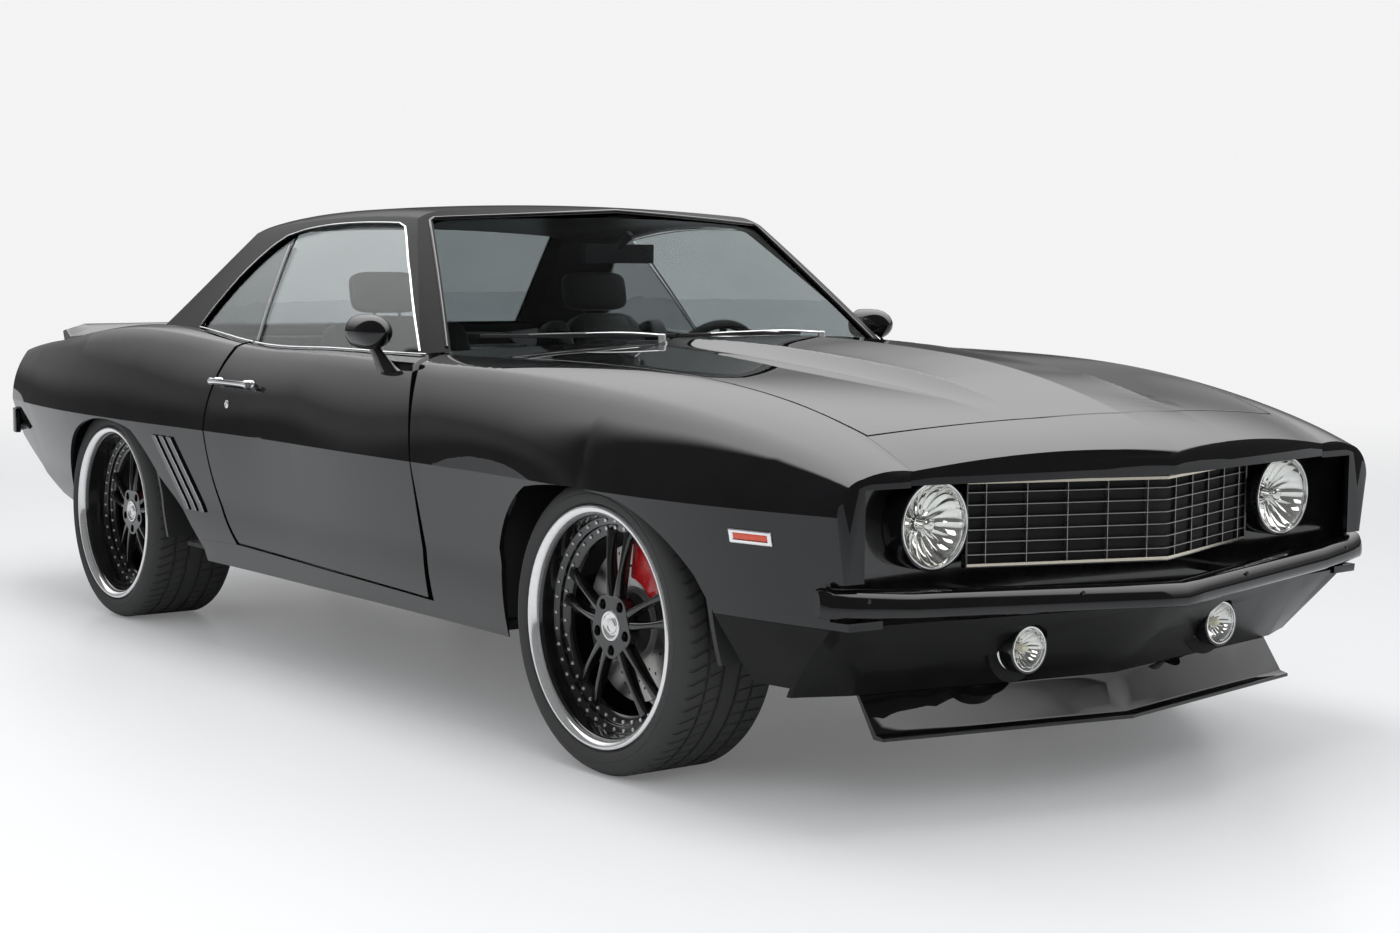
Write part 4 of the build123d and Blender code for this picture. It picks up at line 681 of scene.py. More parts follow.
    @staticmethod
    def _on(section: tuple[np.ndarray, np.ndarray], u: np.ndarray) -> np.ndarray:
        """The (y, z) rows at places round sections.

        Args:
            section: what _section gives.
            u: one place for each section.

        Returns:
            The rows.
        """
        nodes, eased = section
        spans = (nodes.shape[1] - 1) // 2
        k = np.clip(np.floor(u).astype(int), 0, spans - 1)
        t = (u - k)[:, None]
        r = np.arange(len(u))
        a, m, b = nodes[r, 2 * k], nodes[r, 2 * k + 1], nodes[r, 2 * k + 2]
        c = 2 * m - (a + b) / 2
        yz = (1 - t) ** 2 * a + 2 * t * (1 - t) * c + t ** 2 * b
        v = np.clip(t, 0, 1)
        return yz + ((1 - v) * eased[:, r, k].T + v * eased[:, r, k + 1].T
                     + 4 * v * (1 - v) * eased[:, r, spans + 1 + k].T)

    def point(self, x: np.ndarray, u: np.ndarray) -> np.ndarray:
        """Surface points of the left half; u is a whole number at section corners."""
        return np.column_stack([x, self._on(self._section(x), u)])

    def nearest(self, points: np.ndarray) -> tuple[np.ndarray, np.ndarray]:
        """Place round the section nearest to each point.

        Args:
            points: (x, y, z) rows with y not negative.

        Returns:
            The u values and the distances.
        """
        spans = self.spans
        section, target = self._section(points[:, 0]), points[:, 1:]
        steps = np.linspace(0, spans, spans * 8 + 1)
        best_u = np.zeros(len(points))
        best_d = np.full(len(points), 1e9)
        for step in steps:
            d = np.linalg.norm(self._on(section, np.full(len(points), step)) - target, axis=1)
            better = d < best_d
            best_u[better], best_d[better] = step, d[better]
        width = 1 / 8
        for _ in range(11):
            for sign in (-1, 1):
                u = np.clip(best_u + sign * width, 0, spans)
                d = np.linalg.norm(self._on(section, u) - target, axis=1)
                better = d < best_d
                best_u[better], best_d[better] = u[better], d[better]
            width *= 0.58
        return best_u, best_d

    def normal(self, x: np.ndarray, u: np.ndarray, window: float = 0.05) -> np.ndarray:
        """Outward normals of the left half, averaged over a short stretch of the section.

        Args:
            x: stations.
            u: place round the section.
            window: half the stretch, in u.

        Returns:
            Unit rows.
        """
        spans = self.spans
        low, high = u - window, u + window
        for corner in self.crisp:
            above = u >= corner
            low = np.where(above, np.maximum(low, corner), low)
            high = np.where(~above, np.minimum(high, corner), high)
        low, high = np.clip(low, 0, spans), np.clip(high, 0, spans)
        across = self.point(x, high) - self.point(x, low)
        mirrored = u < window
        across[mirrored] = (self.point(x, high) - self.point(x, np.zeros(len(x))))[mirrored]
        across[u < 1e-4] = (0.0, 1.0, 0.0)
        along = self.point(x + 8, u) - self.point(x - 8, u)
        normal = np.cross(along, across)
        return normal / np.maximum(np.linalg.norm(normal, axis=1)[:, None], 1e-9)


def between(a: np.ndarray, b: np.ndarray) -> np.ndarray:
    """Midpoints."""
    return (a + b) / 2


@dataclass(frozen=True)
class BodyForm:
    """Sizes of the lower body, in millimetres: x, crown, seam, shoulder, crease, waist, sill."""

    crease_z: float = 650.0
    waist_z: float = 430.0
    sill_z: float = 255.0
    shoulder_rise: float = 7.0
    flank: float = 12.0
    rocker: float = 6.0
    stations: tuple[tuple[float, ...], ...] = (
        (2350, 730, 630, 650, 745, 640, 800, 770, 720),
        (2190, 808, 650, 736, 775, 722, 838, 805, 750),
        (1980, 852, 652, 815, 805, 782, 893, 850, 790),
        (1421, 906, 688, 900, 846, 858, 940, 893, 852),
        (700, 940, 732, 911, 849, 884, 920, 880, 850),
        (0, 945, 760, 905, 839, 888, 912, 876, 848),
        (-500, 945, 758, 908, 840, 896, 916, 880, 850),
        (-1000, 945, 738, 936, 858, 926, 936, 893, 853),
        (-1500, 915, 692, 912, 848, 900, 932, 872, 822),
        (-2000, 876, 664, 864, 806, 846, 880, 812, 762),
        (-2350, 832, 648, 815, 765, 790, 815, 752, 702),
    )

    def corners(self, c: np.ndarray) -> np.ndarray:
        """Section points from the column values.

        Args:
            c: rows of crown, seam y and z, shoulder y and z, crease, waist and sill.

        Returns:
            Rows of eleven (y, z) points.
        """
        def pair(y: np.ndarray | float, z: np.ndarray | float) -> np.ndarray:
            """(y, z) rows."""
            return np.column_stack([np.broadcast_to(y, len(c)), np.broadcast_to(z, len(c))])
        crown, seam = pair(0.0, c[:, 0]), pair(c[:, 1], c[:, 2])
        shoulder, crease = pair(c[:, 3], c[:, 4]), pair(c[:, 5], self.crease_z)
        waist, sill = pair(c[:, 6], self.waist_z), pair(c[:, 7], self.sill_z)
        top = pair(c[:, 1] / 2, c[:, 0] - 0.25 * (c[:, 0] - c[:, 2]))
        rise = between(seam, shoulder) + (0.0, self.shoulder_rise)
        flank = between(shoulder, crease) + (self.flank, self.flank)
        rocker = between(waist, sill) + (self.rocker, 0.0)
        return np.stack([crown, top, seam, rise, shoulder, flank, crease, between(crease, waist),
                         waist, rocker, sill], axis=1)

    def hull(self) -> Hull:
        """The body as a hull, crisp at the side crease."""
        return Hull(self.stations, self.corners, crisp=(3,))


@dataclass(frozen=True)
class RoofForm:
    """Sizes of the roof, in millimetres: x, crown, rail y and z, belt y."""

    belt_z: float = 860.0
    side: float = 8.0
    turn: float = 0.84
    turn_drop: float = 0.42
    turn_bulge: float = 5.0
    stations: tuple[tuple[float, ...], ...] = (
        (760, 1180, 590, 1150, 806),
        (250, 1290, 596, 1250, 822),
        (-200, 1308, 600, 1262, 826),
        (-600, 1293, 596, 1245, 820),
        (-1000, 1245, 562, 1200, 790),
        (-1450, 1120, 520, 1080, 735),
    )

    def corners(self, c: np.ndarray) -> np.ndarray:
        """Section points from the column values.

        Args:
            c: rows of crown, rail y, rail z and belt y.

        Returns:
            Rows of seven (y, z) points.
        """
        crown = np.column_stack([np.zeros(len(c)), c[:, 0]])
        rail = c[:, 1:3]
        belt = np.column_stack([c[:, 3], np.full(len(c), self.belt_z)])
        drop = self.turn_drop * (c[:, 0] - c[:, 2])
        turn = np.column_stack([c[:, 1] * self.turn, c[:, 0] - drop])
        top = np.column_stack([turn[:, 0] / 2, c[:, 0] - drop / 4])
        edge = between(turn, rail) + (self.turn_bulge, self.turn_bulge)
        side = between(rail, belt) + (self.side, 0.0)
        return np.stack([crown, top, turn, edge, rail, side, belt], axis=1)

    def hull(self) -> Hull:
        """The roof as a hull, crisp nowhere."""
        return Hull(self.stations, self.corners)


@dataclass(frozen=True)
class BonnetRelief:
    """How far the bonnet rises over the plain hull, in millimetres.

    A ridge runs down the middle, between two long blades that meet the bonnet in a crisp foot.
    """

    crest: float = 230.0
    foot: float = 300.0
    ridge_rows: tuple[Pair, ...] = ((829, 14), (1000, 25), (1261, 38), (1472, 45), (1645, 48),
                                    (1756, 45), (1863, 37), (1968, 26), (2069, 14), (2153, 6),
                                    (2330, 5))
    crest_rows: tuple[Pair, ...] = ((829, 14), (1000, 20), (1340, 28), (1600, 30), (1778, 28),
                                    (1888, 22), (1960, 13), (2020, 5), (2062, 0), (2330, 0))

    @staticmethod
    def _row(table: tuple[Pair, ...], x: np.ndarray) -> np.ndarray:
        """Value of a table at x, eased between its rows.

        Args:
            table: rows of station and height.
            x: stations.

        Returns:
            Heights.
        """
        xs, ys = zip(*table)
        soft = [np.interp(x + d, xs, ys) for d in (-60, -30, 0, 30, 60)]
        return sum(soft) / len(soft)

    def rise(self, x: np.ndarray, y: np.ndarray) -> np.ndarray:
        """Rise at each place.

        Args:
            x: stations.
            y: distances across.

        Returns:
            Heights.
        """
        across = np.abs(y)
        ridge, crest = self._row(self.ridge_rows, x), self._row(self.crest_rows, x)
        inner = crest + (ridge - crest) * np.clip(1 - across / self.crest, 0, 1) ** 1.25
        slope = np.clip((across - self.crest) / (self.foot - self.crest), 0, 1)
        outer = crest * (1 - slope) ** 1.3
        return np.where(across < self.crest, inner, outer)


@dataclass(frozen=True)
class PaintSkin:
    """Dresses painted panels: finer facets on the smooth hull, true normals, rounded shut lines.

    Args:
        hull: smooth surface that the outer faces follow.
        reach: how near a face must lie to belong to it, in millimetres.
        facet: longest edge left, in millimetres.
        radius: edge radius at the shut lines, in millimetres.
        window: stretch of the section that each normal is averaged over.
        relief: rise over the hull, or None.
        agree: least cosine between an outer face and the hull.
        lining: finish of the other faces, or None for the same.
    """

    hull: Hull
    reach: float = 3.0
    facet: float = 28.0
    radius: float = 1.6
    window: float = 0.13
    relief: BonnetRelief | None = None
    agree: float = 0.75
    lining: Finish | None = None

    def learn(self, nodes: Sequence[str], level: tuple[int, ...] = ()) -> None:
        """Fits the hull to the outer faces of some nodes.

        Args:
            nodes: frame nodes.
            level: section corners whose height never changes.
        """
        found = []
        for node in nodes:
            bm = outline_mesh(node)
            bm.normal_update()
            outer = dict.fromkeys(v for f in self._outer(bm, 15.0) for v in f.verts)
            found += [(v.co.x, abs(v.co.y), v.co.z) for v in outer]
            bm.free()
        self.hull.follow(np.array(found) * 1000, level)

    def _outer(self, bm: bmesh.types.BMesh, reach: float) -> list[bmesh.types.BMFace]:
        """Faces that lie on the hull.

        Args:
            bm: mesh of a panel.
            reach: how far off the hull a face may lie, in millimetres.

        Returns:
            The faces.
        """
        bm.verts.ensure_lookup_table()
        places = np.array([v.co for v in bm.verts]) * 1000
        flat, side = folded(places)
        u, gap = self.hull.nearest(flat)
        normal = self.hull.normal(flat[:, 0], u)
        normal[:, 1] *= side
        near = gap < reach
        found = []
        for face in bm.faces:
            ids = [v.index for v in face.verts]
            if near[ids].all() and face.normal.dot(Vector(normal[ids].mean(axis=0))) > self.agree:
                found.append(face)
        return found

    def dress(self, node: str, body: str, finish: Finish = PAINT) -> bpy.types.Object:
        """Makes the dressed panel and puts it in the place of its node.

        Args:
            node: frame node.
            body: body it rides on.
            finish: surface finish.

        Returns:
            The new piece.
        """
        bm = outline_mesh(node)
        bm.normal_update()
        tag = bm.faces.layers.int.new("skin")
        for face in self._outer(bm, self.reach):
            face[tag] = 1
        rim = [e for e in bm.edges if len(e.link_faces) == 2
               and e.link_faces[0][tag] != e.link_faces[1][tag]
               and e.calc_face_angle(0.0) > math.radians(40)]
        if self.radius and rim:
            made = bmesh.ops.bevel(bm, geom=rim, offset=self.radius / 1000, segments=2,
                                   profile=0.5, affect="EDGES", clamp_overlap=True)
            for face in made["faces"]:
                face[tag] = 2
        bmesh.ops.triangulate(bm, faces=[f for f in bm.faces if len(f.verts) > 3])
        tag = self._refine(bm, tag)
        mesh = bpy.data.meshes.new(f"{node}_skin")
        marks = self._settle(bm, tag)
        bm.edges.index_update()
        rim = [e.index for e in bm.edges if {f[tag] for f in e.link_faces} == {0, 1}]
        bm.to_mesh(mesh)
        bm.free()
        obj = place(f"{node}_skin", mesh, finish, body)
        for index in rim:
            mesh.edges[index].use_edge_sharp = True
        self._shade(mesh, marks)
        if self.lining:
            mesh.materials.append(self.lining.material())
            mesh.polygons.foreach_set("material_index", (marks == 0).astype(int))
        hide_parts(node)
        return obj

    def _refine(self, bm: bmesh.types.BMesh,
                tag: bmesh.types.BMLayerItem) -> bmesh.types.BMLayerItem:
        """Splits long edges of outer triangles, and the faces next to them, at their middles.

        Corners and triangles are sorted by place first, so that every run gives the same order.

        Args:
            bm: mesh of triangles, rebuilt in place.
            tag: face layer with 1 for outer faces.

        Returns:
            The same layer on the rebuilt mesh.
        """
        limit = self.facet / 1000
        corners = sorted(bm.verts, key=lambda v: tuple(v.co))
        number = {v: k for k, v in enumerate(corners)}
        points = [v.co.copy() for v in corners]
        tris = []
        for face in bm.faces:
            ids = [number[v] for v in face.verts]
            first = ids.index(min(ids))
            tris.append((tuple(ids[first:] + ids[:first]), face[tag]))
        tris.sort()
        for _ in range(9):
            middles: dict[tuple[int, int], int] = {}
            for (a, b, c), mark in tris:
                for edge in (((a, b), (b, c), (c, a)) if mark == 1 else ()):
                    key = (min(edge), max(edge))
                    if key not in middles and (points[key[0]] - points[key[1]]).length > limit:
                        middles[key] = len(points)
                        points.append((points[key[0]] + points[key[1]]) / 2)
            if not middles:
                break
            split = []
            for ids, mark in tris:
                mids = [middles.get((min(p, q), max(p, q))) for p, q in
                        zip(ids, ids[1:] + ids[:1])]
                count = sum(m is not None for m in mids)
                if count in (1, 2):
                    turn = next(k for k in range(3) if mids[k] is not None
                                and (count == 1 or mids[k - 1] is None))
                    ids, mids = ids[turn:] + ids[:turn], mids[turn:] + mids[:turn]
                (a, b, c), (ab, bc, ca) = ids, mids
                parts = {0: [(a, b, c)], 1: [(a, ab, c), (ab, b, c)],
                         2: [(ab, b, bc), (a, ab, bc), (a, bc, c)],
                         3: [(a, ab, ca), (ab, b, bc), (ca, bc, c), (ab, bc, ca)]}[count]
                split += [(part, mark) for part in parts]
            tris = split
        bm.clear()
        tag = bm.faces.layers.int.new("skin")
        verts = [bm.verts.new(p) for p in points]
        for ids, mark in tris:
            bm.faces.new([verts[i] for i in ids])[tag] = mark
        bm.normal_update()
        return tag

    def _settle(self, bm: bmesh.types.BMesh, tag: bmesh.types.BMLayerItem) -> np.ndarray:
        """Moves outer corners onto the hull.

        Args:
            bm: mesh being dressed.
            tag: face layer with 1 for outer faces.

        Returns:
            For each face, 1 where it is outer and 2 where it is a rounded edge.
        """
        verts = list(dict.fromkeys(v for f in bm.faces if f[tag] == 1 for v in f.verts))
        if verts:
            places = np.array([v.co for v in verts]) * 1000
            flat, side = folded(places)
            u, gap = self.hull.nearest(flat)
            moved = self.hull.point(flat[:, 0], u)
            if self.relief:
                moved[:, 2] += self.relief.rise(moved[:, 0], moved[:, 1])
            moved[:, 1] *= side
            moved[np.abs(places[:, 1]) < 0.01, 1] = 0
            for v, p, g in zip(verts, moved, gap):
                if g < self.reach:
                    v.co = Vector(p / 1000)
        bm.faces.index_update()
        return np.array([f[tag] for f in bm.faces])

    def _shade(self, mesh: bpy.types.Mesh, marks: np.ndarray) -> None:
        """Gives outer corners the hull's own normals.

        Args:
            mesh: dressed mesh.
            marks: face marks from _settle.
        """
        places = values_of(mesh.vertices, "co", float, 3).reshape(-1, 3) * 1000
        flat, side = folded(places)
        if self.relief:
            flat[:, 2] -= self.relief.rise(flat[:, 0], flat[:, 1])
        u, gap = self.hull.nearest(flat)
        loops = values_of(mesh.loops, "vertex_index")
        totals = values_of(mesh.polygons, "loop_total")
        owner = np.repeat(np.arange(len(totals)), totals)
        mean_u = np.bincount(owner, u[loops]) / totals
        loop_u = u[loops]
        for corner in self.hull.crisp:
            near = np.abs(loop_u - corner) < 0.02
            loop_u = np.where(near, corner + np.where(mean_u[owner] > corner, 1e-4, -1e-4), loop_u)
        normals = self.hull.normal(flat[loops, 0], loop_u, self.window)
        normals[:, 1] *= side[loops]
        if self.relief:
            normals = self._tilt(normals, places[loops], owner, totals)
        use = (marks[owner] > 0) & (gap[loops] < 0.8)
        normals[~use] = 0
        mesh.normals_split_custom_set(normals.tolist())

    def _tilt(self, normals: np.ndarray, places: np.ndarray, owner: np.ndarray,
              totals: np.ndarray) -> np.ndarray:
        """Tilts normals by the slope of the relief, crisp at its ridge, crest and foot.

        Args:
            normals: unit rows, one for each face corner.
            places: positions of the face corners.
            owner: face of each corner.
            totals: corners of each face.

        Returns:
            Unit rows.
        """
        inward = np.column_stack([np.bincount(owner, places[:, k]) / totals for k in (0, 1)])
        here = places[:, :2] * 0.92 + inward[owner] * 0.08
        step = 0.6
        rise = self.relief.rise
        slope_x = (rise(here[:, 0] + step, here[:, 1]) - rise(here[:, 0] - step, here[:, 1]))
        slope_y = (rise(here[:, 0], here[:, 1] + step) - rise(here[:, 0], here[:, 1] - step))
        tilted = normals / np.maximum(normals[:, 2:3], 0.2)
        tilted[:, 0] -= slope_x / (2 * step)
        tilted[:, 1] -= slope_y / (2 * step)
        return tilted / np.linalg.norm(tilted, axis=1)[:, None]


# ---- wheels
@dataclass(frozen=True)
class RoadWheel:
    """One wheel with its tyre, disc and caliper.

    Sizes are in millimetres, and depths are from the tyre's outer side.

    Args:
        name: front or rear.
        side: right or left.
        x: axle station.
        outer_y: half track to the tyre's outer side.
        width: tyre width.
        hub: depth of the centre cap.
    """

    name: str
    side: str
    x: float
    outer_y: float
    width: float
    hub: float
    axle_z: float = 335.0
    spokes: int = 5
    rivets: int = 40
    pitches: int = 66
    lug_circle: float = 56.0
    disc_radius: float = 177.6
    steps: int = 144

    @property
    def body(self) -> str:
        """Body of the spinning parts."""
        return f"wheel_{self.name}_{self.side}"

    @property
    def carrier(self) -> str:
        """Body that holds the caliper."""
        return f"knuckle_{self.side}" if self.name == "front" else "body"

    def part(self, build: Builder, stem: str, finish: Finish, degrees: float = 32.0,
             body: str = "") -> bpy.types.Object:
        """Makes a mesh into a piece of this wheel, on its spinning body unless one is named."""
        return build.piece(f"{stem}_{self.name}_{self.side}", finish, body or self.body, degrees)

    def at(self, radius: float, degrees: float, depth: float) -> Point:
        """Point on the wheel in metres.

        Args:
            radius: distance from the axle.
            degrees: angle, from forwards upwards.
            depth: distance inwards from the tyre's outer side.

        Returns:
            The point.
        """
        turn = math.radians(degrees)
        sign = 1 if self.side == "left" else -1
        return ((self.x + radius * math.cos(turn)) / 1000,
                sign * (self.outer_y - depth) / 1000,
                (self.axle_z + radius * math.sin(turn)) / 1000)

    def turned(self, profile: Sequence[Pair], steps: int = 0, closed: bool = True) -> Builder:
        """A turned solid.

        Args:
            profile: (radius, depth) points.
            steps: points round it, 0 for the usual number.
            closed: the profile's end joins its start.

        Returns:
            The builder that holds it.
        """
        steps = steps or self.steps
        build = Builder()
        rows = [[self.at(r, 360 * k / steps, d) for k in range(steps)] for r, d in profile]
        build.grid(rows, wrap_row=True, wrap_column=closed)
        return build

    def rim(self) -> None:
        """Polished lip, black dish with two steps, and the barrel behind it."""
        ring = self.hub + 30
        lip = self.turned([(274, 13), (274, 7), (272.6, 4.4), (270, 3), (266, 3.2), (261, 5.4),
                           (256.5, 9.5), (253.6, 15), (252.4, 22), (254.5, 22.5), (256, 16),
                           (260, 11)])
        self.part(lip, "rim_lip", POLISHED, 50)
        dish = self.turned([(252.4, 22), (250.4, 23.5), (248.2, 30), (245.5, ring - 24),
                            (243.5, ring - 17), (240, ring - 15), (229, ring - 13.4),
                            (227.4, ring - 12), (226.4, ring - 4), (224.6, ring - 2.4),
                            (213, ring - 0.6), (208, ring + 1), (204.6, ring + 4),
                            (204, ring + 14), (240, ring + 14), (240, self.width - 30),
                            (262, self.width - 9), (273.8, self.width - 11),
                            (273.8, self.width - 15), (252, self.width - 30), (252, 28),
                            (258, 24)])
        piece = self.part(dish, "rim_dish", TRIM_BLACK, 40)
        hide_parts(f"wheel_{self.name}_{self.side}")
        self._rivets(((236.5, ring - 14.4), (219, ring - 1.6)))

    def _rivets(self, rings: Sequence[Pair]) -> None:
        """Bright cup-headed rivets in rings round the dish.

        Args:
            rings: (radius, depth) of the heads' seats.
        """
        build = Builder()
        for index, (radius, depth) in enumerate(rings):
            for k in range(self.rivets):
                turn = 360 * (k + 0.5 * index) / self.rivets
                head = ((4.6, 0.0), (4.6, -2.6), (3.8, -3.6), (2.3, -3.6), (1.9, -2.2),
                        (0.01, -2.2))
                rows = []
                for size, rise in head:
                    row = []
                    for j in range(8):
                        a = math.radians(45 * j)
                        r = radius + size * math.cos(a)
                        row.append(self.at(r, turn + math.degrees(size * math.sin(a) / radius),
                                           depth + rise))
                    rows.append(row)
                build.grid(rows, wrap_row=True)
        self.part(build, "rivets", POLISHED, 40)

    def spider(self) -> None:
        """Five pairs of arms that sweep from the hub down to the dish."""
        build = Builder()
        for arm in range(self.spokes):
            for lean in (-1, 1):
                self._arm(build, 90 + arm * 360 / self.spokes, lean)
        piece = self.part(build, "spokes", TRIM_BLACK, 40)
        round_edges(piece, 0.0016)
        self._hub()

    def _arm(self, build: Builder, middle: float, lean: int) -> None:
        """One arm of a pair.

        Args:
            build: mesh that it joins.
            middle: angle of the pair.
            lean: -1 or 1, the side of the pair.
        """
        rows = []
        for k in range(13):
            share = k / 12
            radius = 52 + (213 - 52) * share
            offset = lean * (10 + 24 * share ** 0.8)
            half = 13.5 - 6.0 * math.sin(math.pi * min(1, share * 1.05)) + 1.5 * share
            top = self.hub + 3.5 + 17 * max(0.0, (share - 0.12) / 0.88) ** 1.35
            low = min(self.hub + 33, top + 26)
            section = ((-half, low), (-half * 0.98, top + 8), (-half * 0.62, top + 1.4),
                       (0, top), (half * 0.62, top + 1.4), (half * 0.98, top + 8), (half, low))
            row = []
            for across, depth in section:
                lateral = offset + across
                reach = math.hypot(radius, lateral)
                turn = math.degrees(math.atan2(lateral, radius))
                row.append(self.at(reach, middle + turn, depth))
            rows.append(row)
        build.loft(rows)

    def _plate(self, build: Builder, rim: Sequence[Pair], holes: Sequence[tuple[Pair, float, int]],
               front: float, back: float) -> None:
        """A flat plate with round holes through it.

        Args:
            build: mesh that it joins.
            rim: (radius, degrees) of the outline.
            holes: centre as (radius, degrees), radius and corner count of each hole.
            front: depth of its front face.
            back: depth of its back face.
        """
        flat: list[Vector] = []
        edges: list[tuple[int, int]] = []
        centres: list[tuple[Vector, float]] = []

        def loop(points: Sequence[Vector]) -> None:
            """Adds a closed loop of constraint edges.

            Args:
                points: its corners in order.
            """
            base = len(flat)
            flat.extend(points)
            edges.extend((base + i, base + (i + 1) % len(points)) for i in range(len(points)))
        loop([Vector((r * math.cos(math.radians(a)), r * math.sin(math.radians(a))))
              for r, a in rim])
        for (r, a), size, count in holes:
            centre = Vector((r * math.cos(math.radians(a)), r * math.sin(math.radians(a))))
            centres.append((centre, size))
            loop([centre + Vector((size * math.cos(2 * math.pi * k / count),
                                   size * math.sin(2 * math.pi * k / count)))
                  for k in range(count)])
        loops = list(edges)
        points, _, faces, _, _, _ = delaunay_2d_cdt(flat, edges, [], 1, 1e-6)
        keep = [f for f in faces if all(
            (sum((points[i] for i in f), Vector((0, 0))) / len(f) - c).length > s
            for c, s in centres)]
        for depth in (front, back):
            base = len(build.verts)
            build.verts.extend(self.at(p.length, math.degrees(math.atan2(p.y, p.x)), depth)
                               for p in points)
            build.faces.extend(tuple(base + i for i in f) for f in keep)
        base = len(build.verts) - 2 * len(points)
        build.faces.extend((base + a, base + b, base + len(points) + b, base + len(points) + a)
                           for a, b in loops)

    def _hub(self) -> None:
        """Hub face with five deep lug holes, the nuts in them, and a blank centre cap."""
        hub = self.hub
        lugs = [90 + 180 / self.spokes + k * 360 / self.spokes for k in range(self.spokes)]
        outline = []
        for k in range(60):
            turn = 90 + k * 6
            wave = math.cos(math.radians(5 * (turn - 90)))
            outline.append((71.5 + 4.5 * -wave, turn))
        build = Builder()
        self._plate(build, outline, [((self.lug_circle, a), 11.5, 20) for a in lugs]
                    + [((0.0, 0.0), 34.5, 36)], hub + 3.2, hub + 31)
        face = self.part(build, "hub", TRIM_BLACK, 40)
        round_edges(face, 0.0018)
        nuts = Builder()
        for a in lugs:
            centre = Vector(self.at(self.lug_circle, a, 0))
            rows = []
            for size, depth in ((8.2, hub + 31), (8.2, hub + 19), (6.6, hub + 17),
                                (3.0, hub + 16.6)):
                row = []
                for j in range(6):
                    t = math.radians(60 * j)
                    y = self.at(0, 0, depth)[1]
                    row.append((centre.x + size * math.cos(t) / 1000, y,
                                centre.z + size * math.sin(t) / 1000))
                rows.append(row)
            nuts.grid(rows, wrap_row=True)
            nuts.cap(rows[-1])
        self.part(nuts, "lug_nuts", STEEL, 30)
        back = self.turned([(0.01, hub + 30.6), (72, hub + 30.6), (72, hub + 69.8),
                            (0.01, hub + 69.8)], 48)
        self.part(back, "hub_hat", CHASSIS)
        cap = self.turned([(34.4, hub + 14), (34.4, hub + 2.2), (33.4, hub + 0.6),
                           (31.2, hub + 0.1), (28.4, hub + 0.8), (27.2, hub + 3.2),
                           (22, hub + 5.2), (18.4, hub + 5.0), (17.2, hub + 2.0),
                           (15.4, hub + 0.9), (12.6, hub + 1.3), (11.6, hub + 3.0),
                           (6, hub + 2.4), (0.01, hub + 2.2), (0.01, hub + 14)], 48)
        self.part(cap, "centre_cap", POLISHED, 42)

    def brake(self) -> None:
        """Drilled disc and the red caliper over it."""
        hub = self.hub
        holes = []
        for ring, radius in enumerate((112.0, 130.0, 148.0, 164.0)):
            holes += [((radius, 30 * k + 7.5 * ring), 3.4, 8) for k in range(12)]
        rim = [(self.disc_radius, 360 * k / 96) for k in range(96)]
        inner = [((0.0, 0.0), 84.0, 48)]
        build = Builder()
        self._plate(build, rim, holes + inner, hub + 70.2, hub + 99.8)
        disc = self.part(build, "disc", STEEL, 30)
        disc.data.set_sharp_from_angle(angle=math.radians(30))
        hat = self.turned([(84.2, hub + 70), (84.2, hub + 99.6), (60, hub + 99.6),
                           (60, hub + 62), (72.4, hub + 62), (76, hub + 66),
                           (77, hub + 70)], 64)
        self.part(hat, "disc_hat", CAST, 40)
        section = ((107, 49), (112, 47.4), (190, 47.4), (198, 50), (202, 58), (202, 120),
                   (196, 128), (112, 129), (107, 126), (107, 107.2), (184.6, 107.2),
                   (184.6, 62.8), (107, 62.8))
        rows = []
        for k in range(11):
            share = k / 10
            swell = 1 - 0.022 * abs(2 * share - 1) ** 3
            row = []
            for r, d in section:
                lift = 2.2 if 0.12 < share < 0.4 or 0.6 < share < 0.88 else 0.0
                depth = hub + d - (lift if d < 50 and r > 108 else 0.0)
                row.append(self.at(r * (swell if r > 186 else 1), 58 - 25.2 + 50.4 * share, depth))
            rows.append(row)
        build = Builder()
        build.loft(rows)
        piece = self.part(build, "caliper", CALIPER_RED, 40, self.carrier)
        round_edges(piece, 0.0022)

    def tyre(self) -> None:
        """Tyre with a rim guard, four grooves round it and slanted slots across the tread."""
        w = self.width
        low = [(274.4, 15.2), (276.5, 9), (281, 4.4), (286, 2), (293, 0.5), (299, 0.1), (301, 1.4),
               (303, 0.9), (309, 2.2), (316, 5.0), (322, 9.4), (327, 15.4), (330.6, 22)]
        grooves = [w * s for s in (0.26, 0.415, 0.585, 0.74)]
        rows: list[tuple[float, float, float]] = [(r, d, 0.0) for r, d in low]
        edge_low, edge_high = 33.0, w - 33.0
        rows += [(333.4, 28, 2.6), (335, edge_low, 3.4)]
        bands = [3.4, 2.4, 0.0, 2.4, 3.4]
        for index, g in enumerate(grooves):
            rows += [(335, g - 5.0, bands[index]), (328.5, g - 4.0, 0.0), (328.5, g + 4.0, 0.0),
                     (335, g + 5.0, bands[index + 1])]
        rows += [(335, edge_high, 3.4), (333.4, w - 28, 2.6)]
        rows += [(r, w - d, 0.0) for r, d in reversed(low)]
        rows += [(r, d, 0.0) for r, d in ((252.4, w - 30.4), (252.4, w - 42), (302, w - 20),
                                          (322, w - 40), (322, 40), (302, 20), (252.4, 42),
                                          (252.4, 28.6))]
        stops = (0.0, 0.74, 0.78, 0.95)
        pitch = 360 / self.pitches
        build = Builder()
        grid = []
        for r, d, slot in rows:
            shear = 10.0 * (min(max(d, edge_low), edge_high) / w - 0.5)
            shear += 3.0 * math.sin(math.pi * min(max(d, edge_low), edge_high) / w)
            row = []
            for k in range(self.pitches):
                for j, stop in enumerate(stops):
                    depth = slot if j in (2, 3) else 0.0
